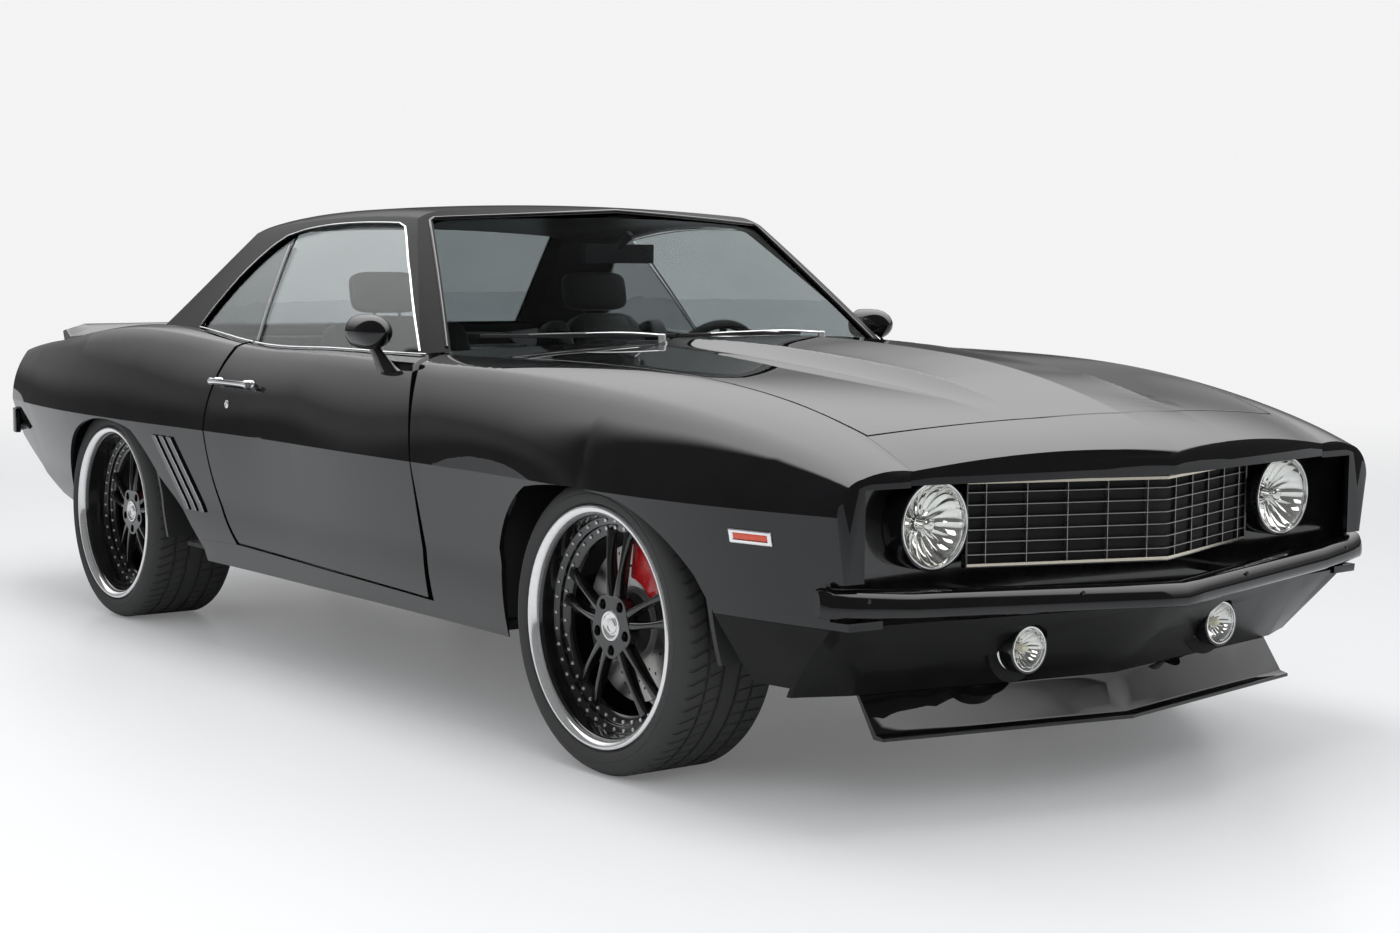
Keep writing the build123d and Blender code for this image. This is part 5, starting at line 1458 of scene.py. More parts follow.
                    row.append(self.at(r - depth, (k + stop) * pitch + shear, d))
            grid.append(row)
        build.grid(grid, wrap_row=True, wrap_column=True)
        piece = self.part(build, "tyre_skin", RUBBER, 28)
        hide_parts(f"tyre_{self.name}_{self.side}")

    def build(self) -> None:
        """Every part of the wheel."""
        self.rim()
        self.spider()
        self.brake()
        self.tyre()
        LOG.info("wheel %s %s", self.name, self.side)


# ---- fittings
def softened(node: str, body: str, finish: Finish, radius: float) -> bpy.types.Object:
    """A hard panel with its edges rounded, in the place of its node.

    Args:
        node: frame node.
        body: body it rides on.
        finish: surface finish.
        radius: edge radius in metres.

    Returns:
        The new piece.
    """
    bm = outline_mesh(node)
    bmesh.ops.dissolve_limit(bm, angle_limit=math.radians(0.6), verts=bm.verts, edges=bm.edges)
    mesh = bpy.data.meshes.new(f"{node}_form")
    bm.to_mesh(mesh)
    bm.free()
    obj = place(f"{node}_form", mesh, finish, body, 30)
    round_edges(obj, radius, 3, 30)
    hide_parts(node)
    return obj


def both(make: Callable[[int], None]) -> None:
    """Runs a maker for the left, 1, and for the right, -1."""
    for side in (1, -1):
        make(side)


def side_name(side: int) -> str:
    """left or right."""
    return "left" if side > 0 else "right"


@dataclass(frozen=True)
class Nose:
    """Grille, lamps, bumper and spoiler of the nose. Sizes in millimetres."""

    grille_x: float = 2296.0
    slope: float = 0.344
    grille_half: float = 449.0
    grille_low: float = 517.0
    grille_high: float = 700.0
    rows: int = 6
    columns: int = 5
    bar: float = 0.75
    lamp: Point = (2162.0, 555.0, 615.0)
    lamp_radius: float = 95.5
    lamp_depth: float = 52.0
    fog: Point = (2194.0, 308.0, 339.0)
    fog_radius: float = 53.5
    fog_depth: float = 34.0
    bumper: tuple[tuple[float, float, float, float, float], ...] = (
        (0, 2362, 2318, 425, 474), (654, 2218, 2176, 438, 489), (800, 2186, 2148, 446, 500),
        (846, 2173, 2143, 449.5, 504.5), (860, 2160, 2142, 453, 501.5))

    def face(self, y: float, back: float = 0.0) -> float:
        """Station of the grille's face at y, moved back."""
        return self.grille_x - self.slope * abs(y) - back

    def _bars(self, build: Builder, path: Sequence[Pair], half: float, deep: float,
              front: float) -> None:
        """A thin bar along a (y, z) path on the grille's face.

        Args:
            build: mesh that it joins.
            path: points of the middle line.
            half: half its width.
            deep: how deep it is.
            front: how far its front lies behind the face.
        """
        level = abs(path[-1][1] - path[0][1]) < 1
        dy, dz = (0.0, half) if level else (half, 0.0)
        corners = ((front, -1), (front, 1), (front + deep, 1), (front + deep, -1))
        build.loft([[(self.face(y, b) / 1000, (y + s * dy) / 1000, (z + s * dz) / 1000)
                     for b, s in corners] for y, z in path])

    def grille(self) -> None:
        """Fine grid in a pointed frame with a bright strip above and below."""
        half, low, high = self.grille_half, self.grille_low, self.grille_high
        mesh = Builder()
        for k in range(1, self.rows + 1):
            z = low + (high - low) * k / (self.rows + 1)
            self._bars(mesh, ((-half, z), (0, z), (half, z)), self.bar, 9.0, 1.5)
        for side in (1, -1):
            for k in range(1, self.columns + 1):
                y = side * (k - 0.5) * half / self.columns
                self._bars(mesh, ((y, low), (y, high)), self.bar, 9.0, 2.5)
        grid = mesh.piece("grille_grid", STEEL, "body", 30)
        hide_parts("grille")
        edge = Builder()
        for z, tall in ((low + 2.5, 4.0), (high - 2.5, 4.0)):
            self._bars(edge, ((-half, z), (0, z), (half, z)), tall, 12.5, 0.8)
        for y in (-half + 3, half - 3):
            self._bars(edge, ((y, low), (y, high)), 3.0, 12.5, 1.0)
        round_edges(edge.piece("grille_frame", TRIM_BLACK, "body", 30), 0.001)
        bright = Builder()
        for z in (low + 4.5, high - 4.5):
            self._bars(bright, ((-half + 2, z), (0, z), (half - 2, z)), 3.3, 3.0, -0.8)
        round_edges(bright.piece("grille_strips", CHAMPAGNE, "body", 30), 0.0006)
        # near-black sheet behind the grid: painted shade inside the grille opening
        back = Builder()
        rows = [[(self.face(y, 12.2) / 1000, y / 1000, z / 1000) for y in (-half, 0, half)]
                for z in (low, high)]
        thick = [[(x - 0.0012, y, z) for x, y, z in row] for row in rows]
        back.slab(rows[0] + rows[1][::-1], thick[0] + thick[1][::-1])
        back.piece("grille_shade_sheet", SHADE_BLACK, "body", 30)

    def _ring(self, build: Builder, centre: Point, profile: Sequence[Pair], steps: int,
              flute: float = 0.0, flutes: int = 0, closed: bool = True) -> None:
        """A turned ring about an axis that runs forwards.

        Args:
            build: mesh that it joins.
            centre: centre point.
            profile: (radius, x offset) points.
            steps: points round it.
            flute: ripple of the radius.
            flutes: number of ripples.
            closed: the profile is a loop.
        """
        rows = []
        for r, dx in profile:
            row = []
            for k in range(steps):
                a = 2 * math.pi * k / steps
                ripple = flute * abs(math.sin(flutes * a / 2)) if flutes else 0.0
                row.append(((centre[0] + dx - ripple) / 1000,
                            (centre[1] + r * math.cos(a)) / 1000,
                            (centre[2] + r * math.sin(a)) / 1000))
            rows.append(row)
        build.grid(rows, wrap_row=True, wrap_column=closed)

    def lamp_unit(self, name: str, centre: Point, radius: float, depth: float, side: int,
                  node: str) -> None:
        """A round lamp: can, bright ring, faceted bowl, bulb shield and domed lens.

        Args:
            name: piece name stem.
            centre: middle of the lens rim.
            radius: outer radius.
            depth: depth of the bowl.
            side: 1 left, -1 right.
            node: frame node that it stands for.
        """
        c = (centre[0], side * centre[1], centre[2])
        large = depth > (self.lamp_depth + self.fog_depth) / 2
        tag = side_name(side)
        r = radius
        can = Builder()
        self._ring(can, c, ((r, -depth - 4), (r, -3), (r - 1.2, -0.6), (r - 3.4, 0),
                            (r - 4.4, -1.4), (r - 4.4, -depth - 4)), 72)
        shell = can.piece(f"{name}_can_{tag}", TRIM_BLACK, "body", 40)
        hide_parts(node)
        ring = Builder()
        self._ring(ring, c, ((r - 4.4, -8), (r - 4.2, -1), (r - 5.4, 0.6), (r - 7.6, 0.4),
                             (r - 9.0, -2.0), (r - 9.6, -8)), 72)
        ring.piece(f"{name}_ring_{tag}", CHROME, "body", 40)
        inner = r - 9.8
        bowl = Builder()
        profile = [(inner * math.sin(t), -6 - (depth - 8) * math.cos(t) ** 1.5)
                   for t in (math.pi / 2 * k / 9 for k in range(10))]
        profile[0] = (inner * 0.1, profile[0][1])
        self._ring(bowl, c, profile, 96, flute=2.6 if large else 1.2, flutes=16, closed=False)
        bowl.piece(f"{name}_bowl_{tag}", REFLECTOR, "body", 12)
        shield = Builder()
        s = r * 0.17
        self._ring(shield, c, ((0.01, -depth * 0.30), (s * 0.5, -depth * 0.27),
                               (s * 0.85, -depth * 0.33), (s, -depth * 0.42), (s, -depth + 4),
                               (0.01, -depth + 4)), 32)
        shield.piece(f"{name}_bulb_{tag}", REFLECTOR if large else BULB, "body", 40)
        lens = Builder()
        dome = [(inner * math.sin(t), 11 * math.cos(t) - 3) for t in
                (math.pi / 2 * k / 8 for k in range(9))]
        dome[0] = (0.01, 8.0)
        back = [(a, b - 2.4) for a, b in reversed(dome)]
        self._ring(lens, c, dome + back, 72)
        lens.piece(f"{name}_lens_{tag}", LENS, "body", 40)

    def front_bumper(self) -> None:
        """Pointed blade with a rolled lip above and below, and its bolts."""
        def section(row: tuple[float, ...], side: int) -> list[Point]:
            """Outline of the blade at one row.

            Args:
                row: a row of the bumper's table.
                side: 1 left, -1 right.

            Returns:
                Points in metres.
            """
            y, front, back, low, high = row
            mid = (low + high) / 2
            tall = (high - low) / 2
            deep = front - back
            shape = ((0.0, -1.1), (0.55, -1.1), (0.80, -1.04), (0.94, -0.88), (1.0, -0.60),
                     (1.0, -0.3), (0.975, 0.0), (0.92, 0.30), (0.84, 0.56), (0.73, 0.80),
                     (0.58, 0.98), (0.40, 1.09), (0.22, 1.13), (0.0, 1.13))
            return [((back + deep * a) / 1000, side * y / 1000, (mid + tall * b) / 1000)
                    for a, b in shape]
        extra: list[tuple[float, ...]] = []
        for a, b in zip(self.bumper, self.bumper[1:]):
            steps = 10 if b[0] - a[0] > 300 else 4
            extra += [tuple(p + (q - p) * k / steps for p, q in zip(a, b)) for k in range(steps)]
        extra.append(self.bumper[-1])
        rows = [section(r, -1) for r in reversed(extra)] + [section(r, 1) for r in extra[1:]]
        build = Builder()
        build.loft(rows)
        blade = build.piece("front_bumper_blade", PAINT, "body", 40)
        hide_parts("front_bumper")
        bolts = Builder()
        for y in (-760, -262, 262, 760):
            front = 2362 - 0.2202 * abs(y)
            if abs(y) > 654:
                front = 2218 - 0.2192 * (abs(y) - 654)
            z = 425 + 0.02 * abs(y) + 38
            self._ring(bolts, (front - 4.4, y, z), ((5.2, 0), (5.0, 2.0), (3.2, 3.6), (0.01, 3.9)),
                       16, closed=False)
        bolts.piece("front_bumper_bolts", SATIN_BLACK, "body", 40)
        # near-black rings round the fog lamps: painted shade in the openings round them
        shade_rings = Builder()
        for side in (1, -1):
            centre = (self.fog[0] - 46, side * self.fog[1], self.fog[2])
            self._ring(shade_rings, centre, ((self.fog_radius - 2, 0), (self.fog_radius + 24, 0),
                                        (self.fog_radius + 24, -3), (self.fog_radius - 2, -3)), 40)
        shade_rings.piece("fog_lamp_shade_rings", SHADE_BLACK, "body", 40)
        arms = Builder()
        for side in (1, -1):
            low = [(2104.4, 362), (2104.4, 398), (2262, 398), (2262, 362)]
            arms.slab([(x / 1000, side * y / 1000, 0.443) for x, y in low],
                      [(x / 1000, side * y / 1000, 0.461) for x, y in low])
        arms.piece("front_bumper_arms", CHASSIS, "body", 30)

    def build(self) -> None:
        """Every part of the nose."""
        self.grille()
        both(lambda s: self.lamp_unit("headlamp", self.lamp, self.lamp_radius, self.lamp_depth,
                                      s, "headlamps"))
        both(lambda s: self.lamp_unit("fog_lamp", self.fog, self.fog_radius, self.fog_depth,
                                      s, "fog_lamps"))
        self.front_bumper()
        softened("lamp_panel", "body", TRIM_BLACK, 0.0015)
        softened("front_valance", "body", VALANCE, 0.002)
        softened("chin_spoiler", "body", PAINT, 0.0016)
        LOG.info("nose")


SIDE_START = 1.6  # place round a section, below the top, where its side begins


@dataclass(frozen=True)
class SideTrim:
    """Bright mouldings, handle, mirrors, marker and gills on the sides.

    Args:
        body: fitted body hull.
        roof: fitted roof hull.
    """

    body: Hull
    roof: Hull
    foot: Pair = (566.0, 850.0)
    pillar_top: Pair = (112.0, 1236.0)
    top: Pair = (70.0, 1247.0)
    top_mid: Pair = (-300.0, 1245.0)
    top_rear: Pair = (-560.0, 1214.0)
    rear_mid: Pair = (-735.0, 1112.0)
    corner: Pair = (-872.0, 946.0)
    divider_low: Pair = (-396.0, 850.0)
    divider_high: Pair = (-538.0, 1240.0)
    screen: tuple[Pair, ...] = ((727, 925), (569, 1252), (554, 1260), (0, 1289))
    backlight: tuple[Pair, ...] = ((628, 925), (508, 1226), (496, 1233), (0, 1261))
    lever: Point = (-506.0, 906.0, 795.0)
    lever_length: float = 252.0
    lever_feet: Pair = (-473.0, -287.0)
    lock: Pair = (-400.0, 733.0)
    mirror_at: Point = (367.0, 862.0, 961.0)
    marker_at: Pair = (1968.0, 594.0)

    @staticmethod
    def _beside(hull: Hull, end: float, x: float, z: float, out: float) -> np.ndarray:
        """Point on a hull's side at a height, moved outwards.

        Args:
            hull: hull to stand on.
            end: last place round its section to look at.
            x: station.
            z: height.
            out: distance outwards.

        Returns:
            The point in millimetres.
        """
        count = round((end - SIDE_START) * 100) + 1
        u = np.linspace(SIDE_START, end, count)
        p = hull.point(np.full(count, x), u)
        k = int(np.argmin(np.abs(p[:, 2] - z)))
        return p[k] + hull.normal(np.array([x]), u[k:k + 1])[0] * out

    def on_roof(self, x: float, z: float, out: float) -> Point:
        """Point on the glasshouse side at a height, moved outwards, in metres."""
        q = self._beside(self.roof, 3.0, x, z, out)
        return (q[0] / 1000, q[1] / 1000, z / 1000)

    def on_body(self, x: float, z: float, out: float) -> Point:
        """Point on the body side at a height, moved outwards, in metres."""
        return tuple(self._beside(self.body, 5.0, x, z, out) / 1000)

    def belt(self, x: float) -> float:
        """Height where the glasshouse meets the body.

        Args:
            x: station.

        Returns:
            The height in millimetres.
        """
        z = 905.0
        u = np.linspace(0.2, 2.2, 201)
        top = self.body.point(np.full(201, x), u)
        for _ in range(6):
            y = self.on_roof(x, z, 0)[1] * 1000
            z = float(top[int(np.argmin(np.abs(top[:, 1] - y))), 2])
        return z

    @staticmethod
    def arc(a: Pair, m: Pair, b: Pair, count: int) -> list[Pair]:
        """Points on a curve through three points.

        Args:
            a: start.
            m: middle.
            b: end.
            count: number of steps.

        Returns:
            The points.
        """
        c = (2 * m[0] - (a[0] + b[0]) / 2, 2 * m[1] - (a[1] + b[1]) / 2)
        return [((1 - t) ** 2 * a[0] + 2 * t * (1 - t) * c[0] + t * t * b[0],
                 (1 - t) ** 2 * a[1] + 2 * t * (1 - t) * c[1] + t * t * b[1])
                for t in (k / count for k in range(count + 1))]

    def strip(self, name: str, path: Sequence[Point], finish: Finish, body: str,
              radius: float = 3.4, flat: float = 0.6) -> None:
        """A slim moulding along a path in metres; flat is its height share."""
        tube(path, radius / 1000, 10, flat=flat).piece(name, finish, body, 50)

    def mouldings(self, side: int) -> None:
        """Window frame, belt and divider strips of one side.

        Args:
            side: 1 left, -1 right.
        """
        tag = side_name(side)
        over = self.arc(self.top, self.top_mid, self.top_rear, 14)[:-1]
        over += self.arc(self.top_rear, self.rear_mid, self.corner, 14)
        frame_path = [(x, z) for x, z in over if z > self.belt(x) - 2]
        pillar = [(self.foot[0] + (self.pillar_top[0] - self.foot[0]) * k / 12,
                   self.foot[1] + (self.pillar_top[1] - self.foot[1]) * k / 12)
                  for k in range(2, 13)]
        path = [p for p in pillar if p[1] > self.belt(p[0])] + frame_path
        line = [self.on_roof(x, z, 1.2) for x, z in path]
        self.strip(f"window_frame_{tag}", [(x, side * y, z) for x, y, z in line], CHROME, "body")
        for part, x0, x1, owner in (("front", 528.0, -412.0, f"door_{tag}"),
                                    ("rear", -424.0, -868.0, "body")):
            stops = [x0 + (x1 - x0) * k / 16 for k in range(17)]
            line = []
            for x in stops:
                z = self.belt(x)
                p = self.on_roof(x, z + 4.5, 2.6)
                line.append((p[0], side * p[1], (z + 4.5) / 1000))
            self.strip(f"belt_strip_{part}_{tag}", line, CHROME, owner, 3.6)
        (ax, az), (bx, bz) = self.divider_low, self.divider_high
        line = []
        for k in range(9):
            z = self.belt(-425) + 8 + (1216 - self.belt(-425)) * k / 8
            x = ax + (bx - ax) * (z - az) / (bz - az)
            if z < 1216:
                p = self.on_roof(x + 6, z, -3.6)
                line.append((p[0], side * p[1], p[2]))
        self.strip(f"window_divider_{tag}", line, CHROME, f"door_{tag}", 4.2, 0.9)

    def handle(self, side: int) -> None:
        """Chrome lever handle with its pads and a round lock below.

        Args:
            side: 1 left, -1 right.
        """
        tag = side_name(side)
        start, lever_y, lever_z = self.lever
        build = Builder()
        rows = []
        for k in range(25):
            t = k / 24
            x = start + self.lever_length * t
            wide = 8.2 + 3.4 * abs(2 * t - 1) ** 4
            thick = 6.6 + 1.6 * abs(2 * t - 1) ** 4
            if t in (0.0, 1.0):
                wide, thick = wide * 0.6, thick * 0.6
            rows.append(ring_x(x, lever_y, lever_z, (thick, wide), side, 14))
        build.loft(rows)
        build.piece(f"door_lever_{tag}", CHROME, f"door_{tag}", 50)
        pads = Builder()
        for x in self.lever_feet:
            foot = self.on_body(x, lever_z, -1.5)
            rows = []
            for grow, out in ((19, 0.0), (19, 3.0), (16, 5.0), (12.5, 6.0), (11.5, 28.0)):
                y = foot[1] * 1000 + out
                rows.append([((x + grow * math.cos(a)) / 1000, side * min(y, lever_y - 1) / 1000,
                              (lever_z + min(grow, 11.5) * math.sin(a)) / 1000)
                             for a in angles(20)])
            pads.grid(rows, wrap_row=True)
        lock_x, lock_z = self.lock
        foot = self.on_body(lock_x, lock_z, -1.0)
        rows = []
        for r, out in ((11.5, 0.0), (11.5, 2.6), (9.6, 4.0), (7.0, 4.2), (6.2, 2.8), (0.01, 2.8)):
            rows.append([((lock_x + r * math.cos(a)) / 1000, side * (foot[1] + out / 1000),
                          (lock_z + r * math.sin(a)) / 1000) for a in angles(24)])
        pads.grid(rows, wrap_row=True)
        pads.piece(f"door_handle_pads_{tag}", CHROME, f"door_{tag}", 50)

    def mirror(self, side: int) -> None:
        """Bullet mirror on a swept pedestal.

        Args:
            side: 1 left, -1 right.
        """
        tag = side_name(side)
        owner = f"door_{tag}"
        cx, cy, cz = self.mirror_at
        build = Builder()
        profile = [(-61.5, 38.5), (-61.5, 42.8), (-58, 44.6), (-40, 45.6), (-10, 46.3), (14, 45.4),
                   (34, 41.6), (50, 34.8), (62, 26), (71, 15.5), (76, 7), (77.6, 0.01)]
        build.grid([ring_x(cx + dx, cy, cz, (r, r), side, 40) for dx, r in profile],
                   wrap_row=True)
        shell = build.piece(f"mirror_shell_{tag}", PAINT, owner, 60)
        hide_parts(f"mirror_{tag}")
        glass = Builder()
        glass.grid([ring_x(cx + dx, cy, cz, (r, r), side, 40)
                    for dx, r in ((-61.5, 38.5), (-58.5, 38.2), (-58.5, 0.01))], wrap_row=True)
        glass.piece(f"mirror_glass_{tag}", REFLECTOR, owner, 40)
        stem = Builder()
        rows = []
        for k in range(9):
            t = k / 8
            x = 462 - 92 * t ** 0.8
            z = 862 + 72 * t
            half_x = 36 * (1 - t) ** 1.4 + 17
            half_y = 11.6 * (1 - 0.25 * math.sin(math.pi * t))
            y = 860 + 2 * t
            rows.append([((x + half_x * math.cos(a)) / 1000,
                          side * (y + half_y * math.sin(a)) / 1000, (z + 5 * math.cos(a)) / 1000)
                         for a in angles(20)])
        stem.loft(rows)
        stem.piece(f"mirror_stem_{tag}", PAINT, owner, 50)

    def marker(self, side: int) -> None:
        """Side marker: bright bezel round a red-amber lens.

        Args:
            side: 1 left, -1 right.
        """
        tag = side_name(side)
        mid_x, mid_z = self.marker_at

        def frame_ring(half_wide: float, half_tall: float, out: float) -> list[Point]:
            """Outline of the marker.

            Args:
                half_wide: half its width.
                half_tall: half its height.
                out: distance from the body.

            Returns:
                Points in metres.
            """
            return [(p[0], side * p[1], p[2]) for p in
                    (self.on_body(mid_x + half_wide * a, mid_z + half_tall * b, out) for a, b in
                     ((-1, -1), (0, -1), (1, -1), (1, 0), (1, 1), (0, 1), (-1, 1), (-1, 0)))]
        bezel = Builder()
        bezel.grid([frame_ring(*row) for row in
                    ((54.5, 14, 0.2), (54.5, 14, 3.4), (52.5, 12, 4.8), (46, 8.2, 4.6),
                     (44, 7.2, 1.5))], wrap_row=True)
        piece = bezel.piece(f"side_marker_bezel_{tag}", CHROME, "body", 30)
        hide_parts("side_markers")
        lens = Builder()
        loops = [frame_ring(*row) for row in ((43.8, 7.1, 0.8), (43.0, 6.6, 2.6), (38, 4.5, 3.4))]
        lens.grid(loops, wrap_row=True)
        lens.cap(loops[-1])
        lens.cap(loops[0])
        lens.piece(f"side_marker_lens_{tag}", AMBER_RED, "body", 30)

    def gills(self, side: int) -> None:
        """Bright rear edges on the three slats behind the door.

        Args:
            side: 1 left, -1 right.
        """
        build = Builder()
        for bar in range(3):
            line = []
            for k in range(9):
                t = 0.015 + 0.97 * k / 8
                x = -712 + bar * 48 + 30 - 146 * t - 2.5
                z = 405 + 212 * t
                p = self.on_body(x, z, 5.6)
                line.append((p[0], side * p[1], p[2]))
            build.join(tube(line, 0.0016, 8))
        build.piece(f"gill_edges_{side_name(side)}", CHROME, "body", 50)

    def screens(self) -> None:
        """Mouldings round the windscreen and the rear window."""
        tree = surface_of("roof")
        for name, half, start, finish in (
                ("windscreen_moulding", self.screen, 3.0, TRIM_BLACK),
                ("rear_window_moulding", self.backlight, -3.0, CHROME)):
            line = [(a[0] + (b[0] - a[0]) * k / 14, a[1] + (b[1] - a[1]) * k / 14)
                    for a, b in zip(half, half[1:]) for k in range(14)] + [half[-1]]
            line += [(-y, z) for y, z in line[-2::-1]]
            path = []
            for y, z in line:
                hit = tree.ray_cast(Vector((start, y / 1000, z / 1000)),
                                    Vector((-start, 0, 0)).normalized())[0]
                if hit and hit.x * start > 0:
                    path.append((hit.x + 0.001 * start / 3, y / 1000, z / 1000))
            tube(path, 0.0045, 8).piece(name, finish, "body", 50)

    def build(self) -> None:
        """Both sides."""
        self.screens()
        for make in (self.mouldings, self.handle, self.mirror, self.marker, self.gills):
            both(make)
        LOG.info("side trim")


@dataclass(frozen=True)
class Cabin:
    """Seats, steering wheel, mirror and wipers. Sizes in millimetres."""

    seat_y: float = 375.0
    steer: Point = (191.0, 370.0, 808.0)
    steer_tilt: float = math.radians(25)
    steer_radius: float = 172.0
    wiper_x: float = 702.0
    wiper_bow: float = 0.000406
    wiper_z: float = 954.0
    wipers: tuple[tuple[float, float, Pair], ...] = (
        (-130.0, -640.0, (800.0, -250.0)), (330.0, -120.0, (790.0, 300.0)))

    @staticmethod
    def pad(name: str, centre: Point, up: Point, out: Point, size: Point, channels: int,
            crown: float, fill: float, nodes: str, lean: float = 0.0) -> None:
        """A stuffed pad: rounded block with a crowned face and stitched channels.

        Args:
            name: piece name.
            centre: middle of the pad in millimetres.
            up: direction along its height.
            out: direction that its face looks in.
            size: half width, half height and half thickness.
            channels: sewn channels across the face, 0 for none.
            crown: how far the face swells.
            fill: how full it is, 0 to 1; not used.
            nodes: frame node that it stands for.
            lean: how far the face slants towards one side, for a bolster.
        """
        top, face = Vector(up).normalized(), Vector(out).normalized()
        wide = top.cross(face).normalized()
        half_w, half_h, half_t = size
        middle = Vector(centre)

        def power(value: float, e: float) -> float:
            """Power that keeps the sign."""
            return math.copysign(abs(value) ** e, value)
        rows = []
        steps, round_it = 34, 88
        for i in range(steps + 1):
            t = -math.pi / 2 + math.pi * i / steps
            v, shrink = power(math.sin(t), 0.42), abs(math.cos(t)) ** 0.42
            row = []
            for k in range(round_it):
                a = 2 * math.pi * k / round_it
                u = power(math.cos(a), 0.42)
                n = power(math.sin(a), 0.5) * half_t * shrink
                if math.sin(a) > 0:
                    swell = (1 - u * u) * (1 - v * v)
                    n += crown * swell + lean * u * shrink
                    if channels:
                        cell = abs(math.sin(math.pi * channels * (u + 1) / 2))
                        n -= 5.5 * (1 - cell) ** 3 * min(1.0, 3 * swell)
                p = middle + wide * (u * half_w * shrink) + top * (v * half_h) + face * n
                row.append(p / 1000)
            rows.append(row)
        build = Builder()
        build.grid(rows, wrap_row=True)
        obj = build.piece(name, LEATHER, "body", 60)
        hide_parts(nodes)

    def front_seat(self, side: int) -> None:
        """One front seat: base, cushion, back, bolsters and headrest.

        Args:
            side: 1 left, -1 right.
        """
        tag = side_name(side)
        y = side * self.seat_y
        base = Builder()
        plan = ((-225, -184), (184, -184), (184, 184), (-225, 184))
        base.slab([(px / 1000, (y + py) / 1000, 0.275) for px, py in plan],
                  [(px * 0.94 / 1000, (y + py * 0.95) / 1000, 0.338) for px, py in plan])
        shell = base.piece(f"seat_base_{tag}", SATIN_BLACK, "body", 30)
        round_edges(shell, 0.008)
        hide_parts("front_seats")
        forward, above = (1.0, 0.0, 0.04), (-0.04, 0.0, 1.0)
        slope = (-185.0, 0.0, 545.0)
        ahead = (545.0, 0.0, 185.0)
        self.pad(f"seat_cushion_{tag}", (-12, y, 388), forward, above, (150, 238, 50), 5, 10, 0.8,
                 "front_seats")
        self.pad(f"seat_back_{tag}", (-296, y, 715), slope, ahead, (150, 276, 44), 5, 10, 0.8,
                 "front_seats")
        for edge in (1, -1):
            part = "inner" if edge * side < 0 else "outer"
            self.pad(f"seat_cushion_bolster_{part}_{tag}", (-12, y + edge * 186, 396), forward,
                     above, (46, 240, 56), 0, 6, 0.9, "front_seats")
            self.pad(f"seat_back_bolster_{part}_{tag}", (-290, y + edge * 186, 705), slope, ahead,
                     (46, 262, 52), 0, 6, 0.9, "front_seats")
        self.pad(f"headrest_{tag}", (-414, y, 1049), (-24.0, 0.0, 125.0), (125.0, 0.0, 24.0),
                 (116, 60, 24), 0, 4, 0.9, "front_seats")
        posts = Builder()
        for edge in (1, -1):
            posts.grid([[((-400 + 5 * math.cos(a)) / 1000 - 0.012 * k,
                          (y + edge * 42 + 5 * math.sin(a)) / 1000, 0.965 + 0.035 * k)
                         for a in angles(12)] for k in (0, 1)],
                       wrap_row=True)
        posts.piece(f"headrest_posts_{tag}", CHROME, "body", 50)

    def rear_seats(self) -> None:
        """Two scooped rear places and the ledge behind them."""
        for side in (1, -1):
            tag = side_name(side)
            y = side * 268.0
            self.pad(f"rear_cushion_{tag}", (-694, y, 412), (1.0, 0.0, 0.03), (-0.03, 0.0, 1.0),
                     (264, 250, 46), 5, 9, 0.8, "rear_seat")
            self.pad(f"rear_back_{tag}", (-962, y, 652), (-200.0, 0.0, 400.0),
                     (400.0, 0.0, 200.0), (264, 215, 44), 5, 9, 0.8, "rear_seat")
        body = Builder()
        profile = ((-955, 470), (-448, 470), (-448, 372), (-930, 372))
        body.slab([(x / 1000, -0.535, z / 1000 - 0.004) for x, z in profile],
                  [(x / 1000, 0.535, z / 1000 - 0.004) for x, z in profile])
        ledge = ((-1042, 858), (-858, 470), (-946, 470), (-1130, 858))
        body.slab([(x / 1000, -0.535, z / 1000) for x, z in ledge],
                  [(x / 1000, 0.535, z / 1000) for x, z in ledge])
        rear = body.piece("rear_seat_frame", CARPET, "body", 30)
        round_edges(rear, 0.01)
        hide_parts("rear_seat")

    def wiper_set(self) -> None:
        """Two wipers: pivot cap, tapered arm, bridge and rubber blade."""
        blades, arms = Builder(), Builder()
        for inner, outer, (px, py) in self.wipers:
            def at(y: float, lift: float, ahead: float) -> Point:
                """Point over the blade's line."""
                return ((self.wiper_x - self.wiper_bow * y * y + ahead) / 1000, y / 1000,
                        (self.wiper_z + lift) / 1000)
            ys = [inner + (outer - inner) * k / 16 for k in range(17)]
            blades.join(tube([at(y, -3, 3) for y in ys], 0.0030, 8, flat=1.2))
            blades.join(tube([at(y, 1.5, 5) for y in ys], 0.0026, 8, flat=0.7))
            middle = (inner + outer) / 2
            span = (outer - inner) * 0.28
            bridge = [at(middle + span * k / 6, 2 + 3.2 * (1 - (k / 6) ** 2), 6)
                      for k in range(-6, 7)]
            arms.join(tube(bridge, 0.0030, 8, flat=0.7))
            end = Vector(at(middle, 5, 6))
            root = Vector((px / 1000, py / 1000, (self.wiper_z + 3) / 1000))
            line = [root + (end - root) * (k / 10)
                    + Vector((0, 0, 0.004 * math.sin(math.pi * k / 10)))
                    for k in range(11)]
            arms.join(tube(line, [0.0072 - 0.0036 * k / 10 for k in range(11)], 10, flat=0.45))
            cap = [[(px + r * math.cos(a), py + r * math.sin(a), self.wiper_z + h)
                    for a in angles(24)]
                   for r, h in ((10.5, -60), (10.5, 2), (9.5, 5), (6.5, 6.5), (0.01, 7))]
            arms.grid([[(a / 1000, b / 1000, c / 1000) for a, b, c in ring] for ring in cap],
                      wrap_row=True)
        rubber = blades.piece("wiper_blades", RUBBER, "body", 40)
        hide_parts("wipers")
        arms.piece("wiper_arms", POLISHED, "body", 40)

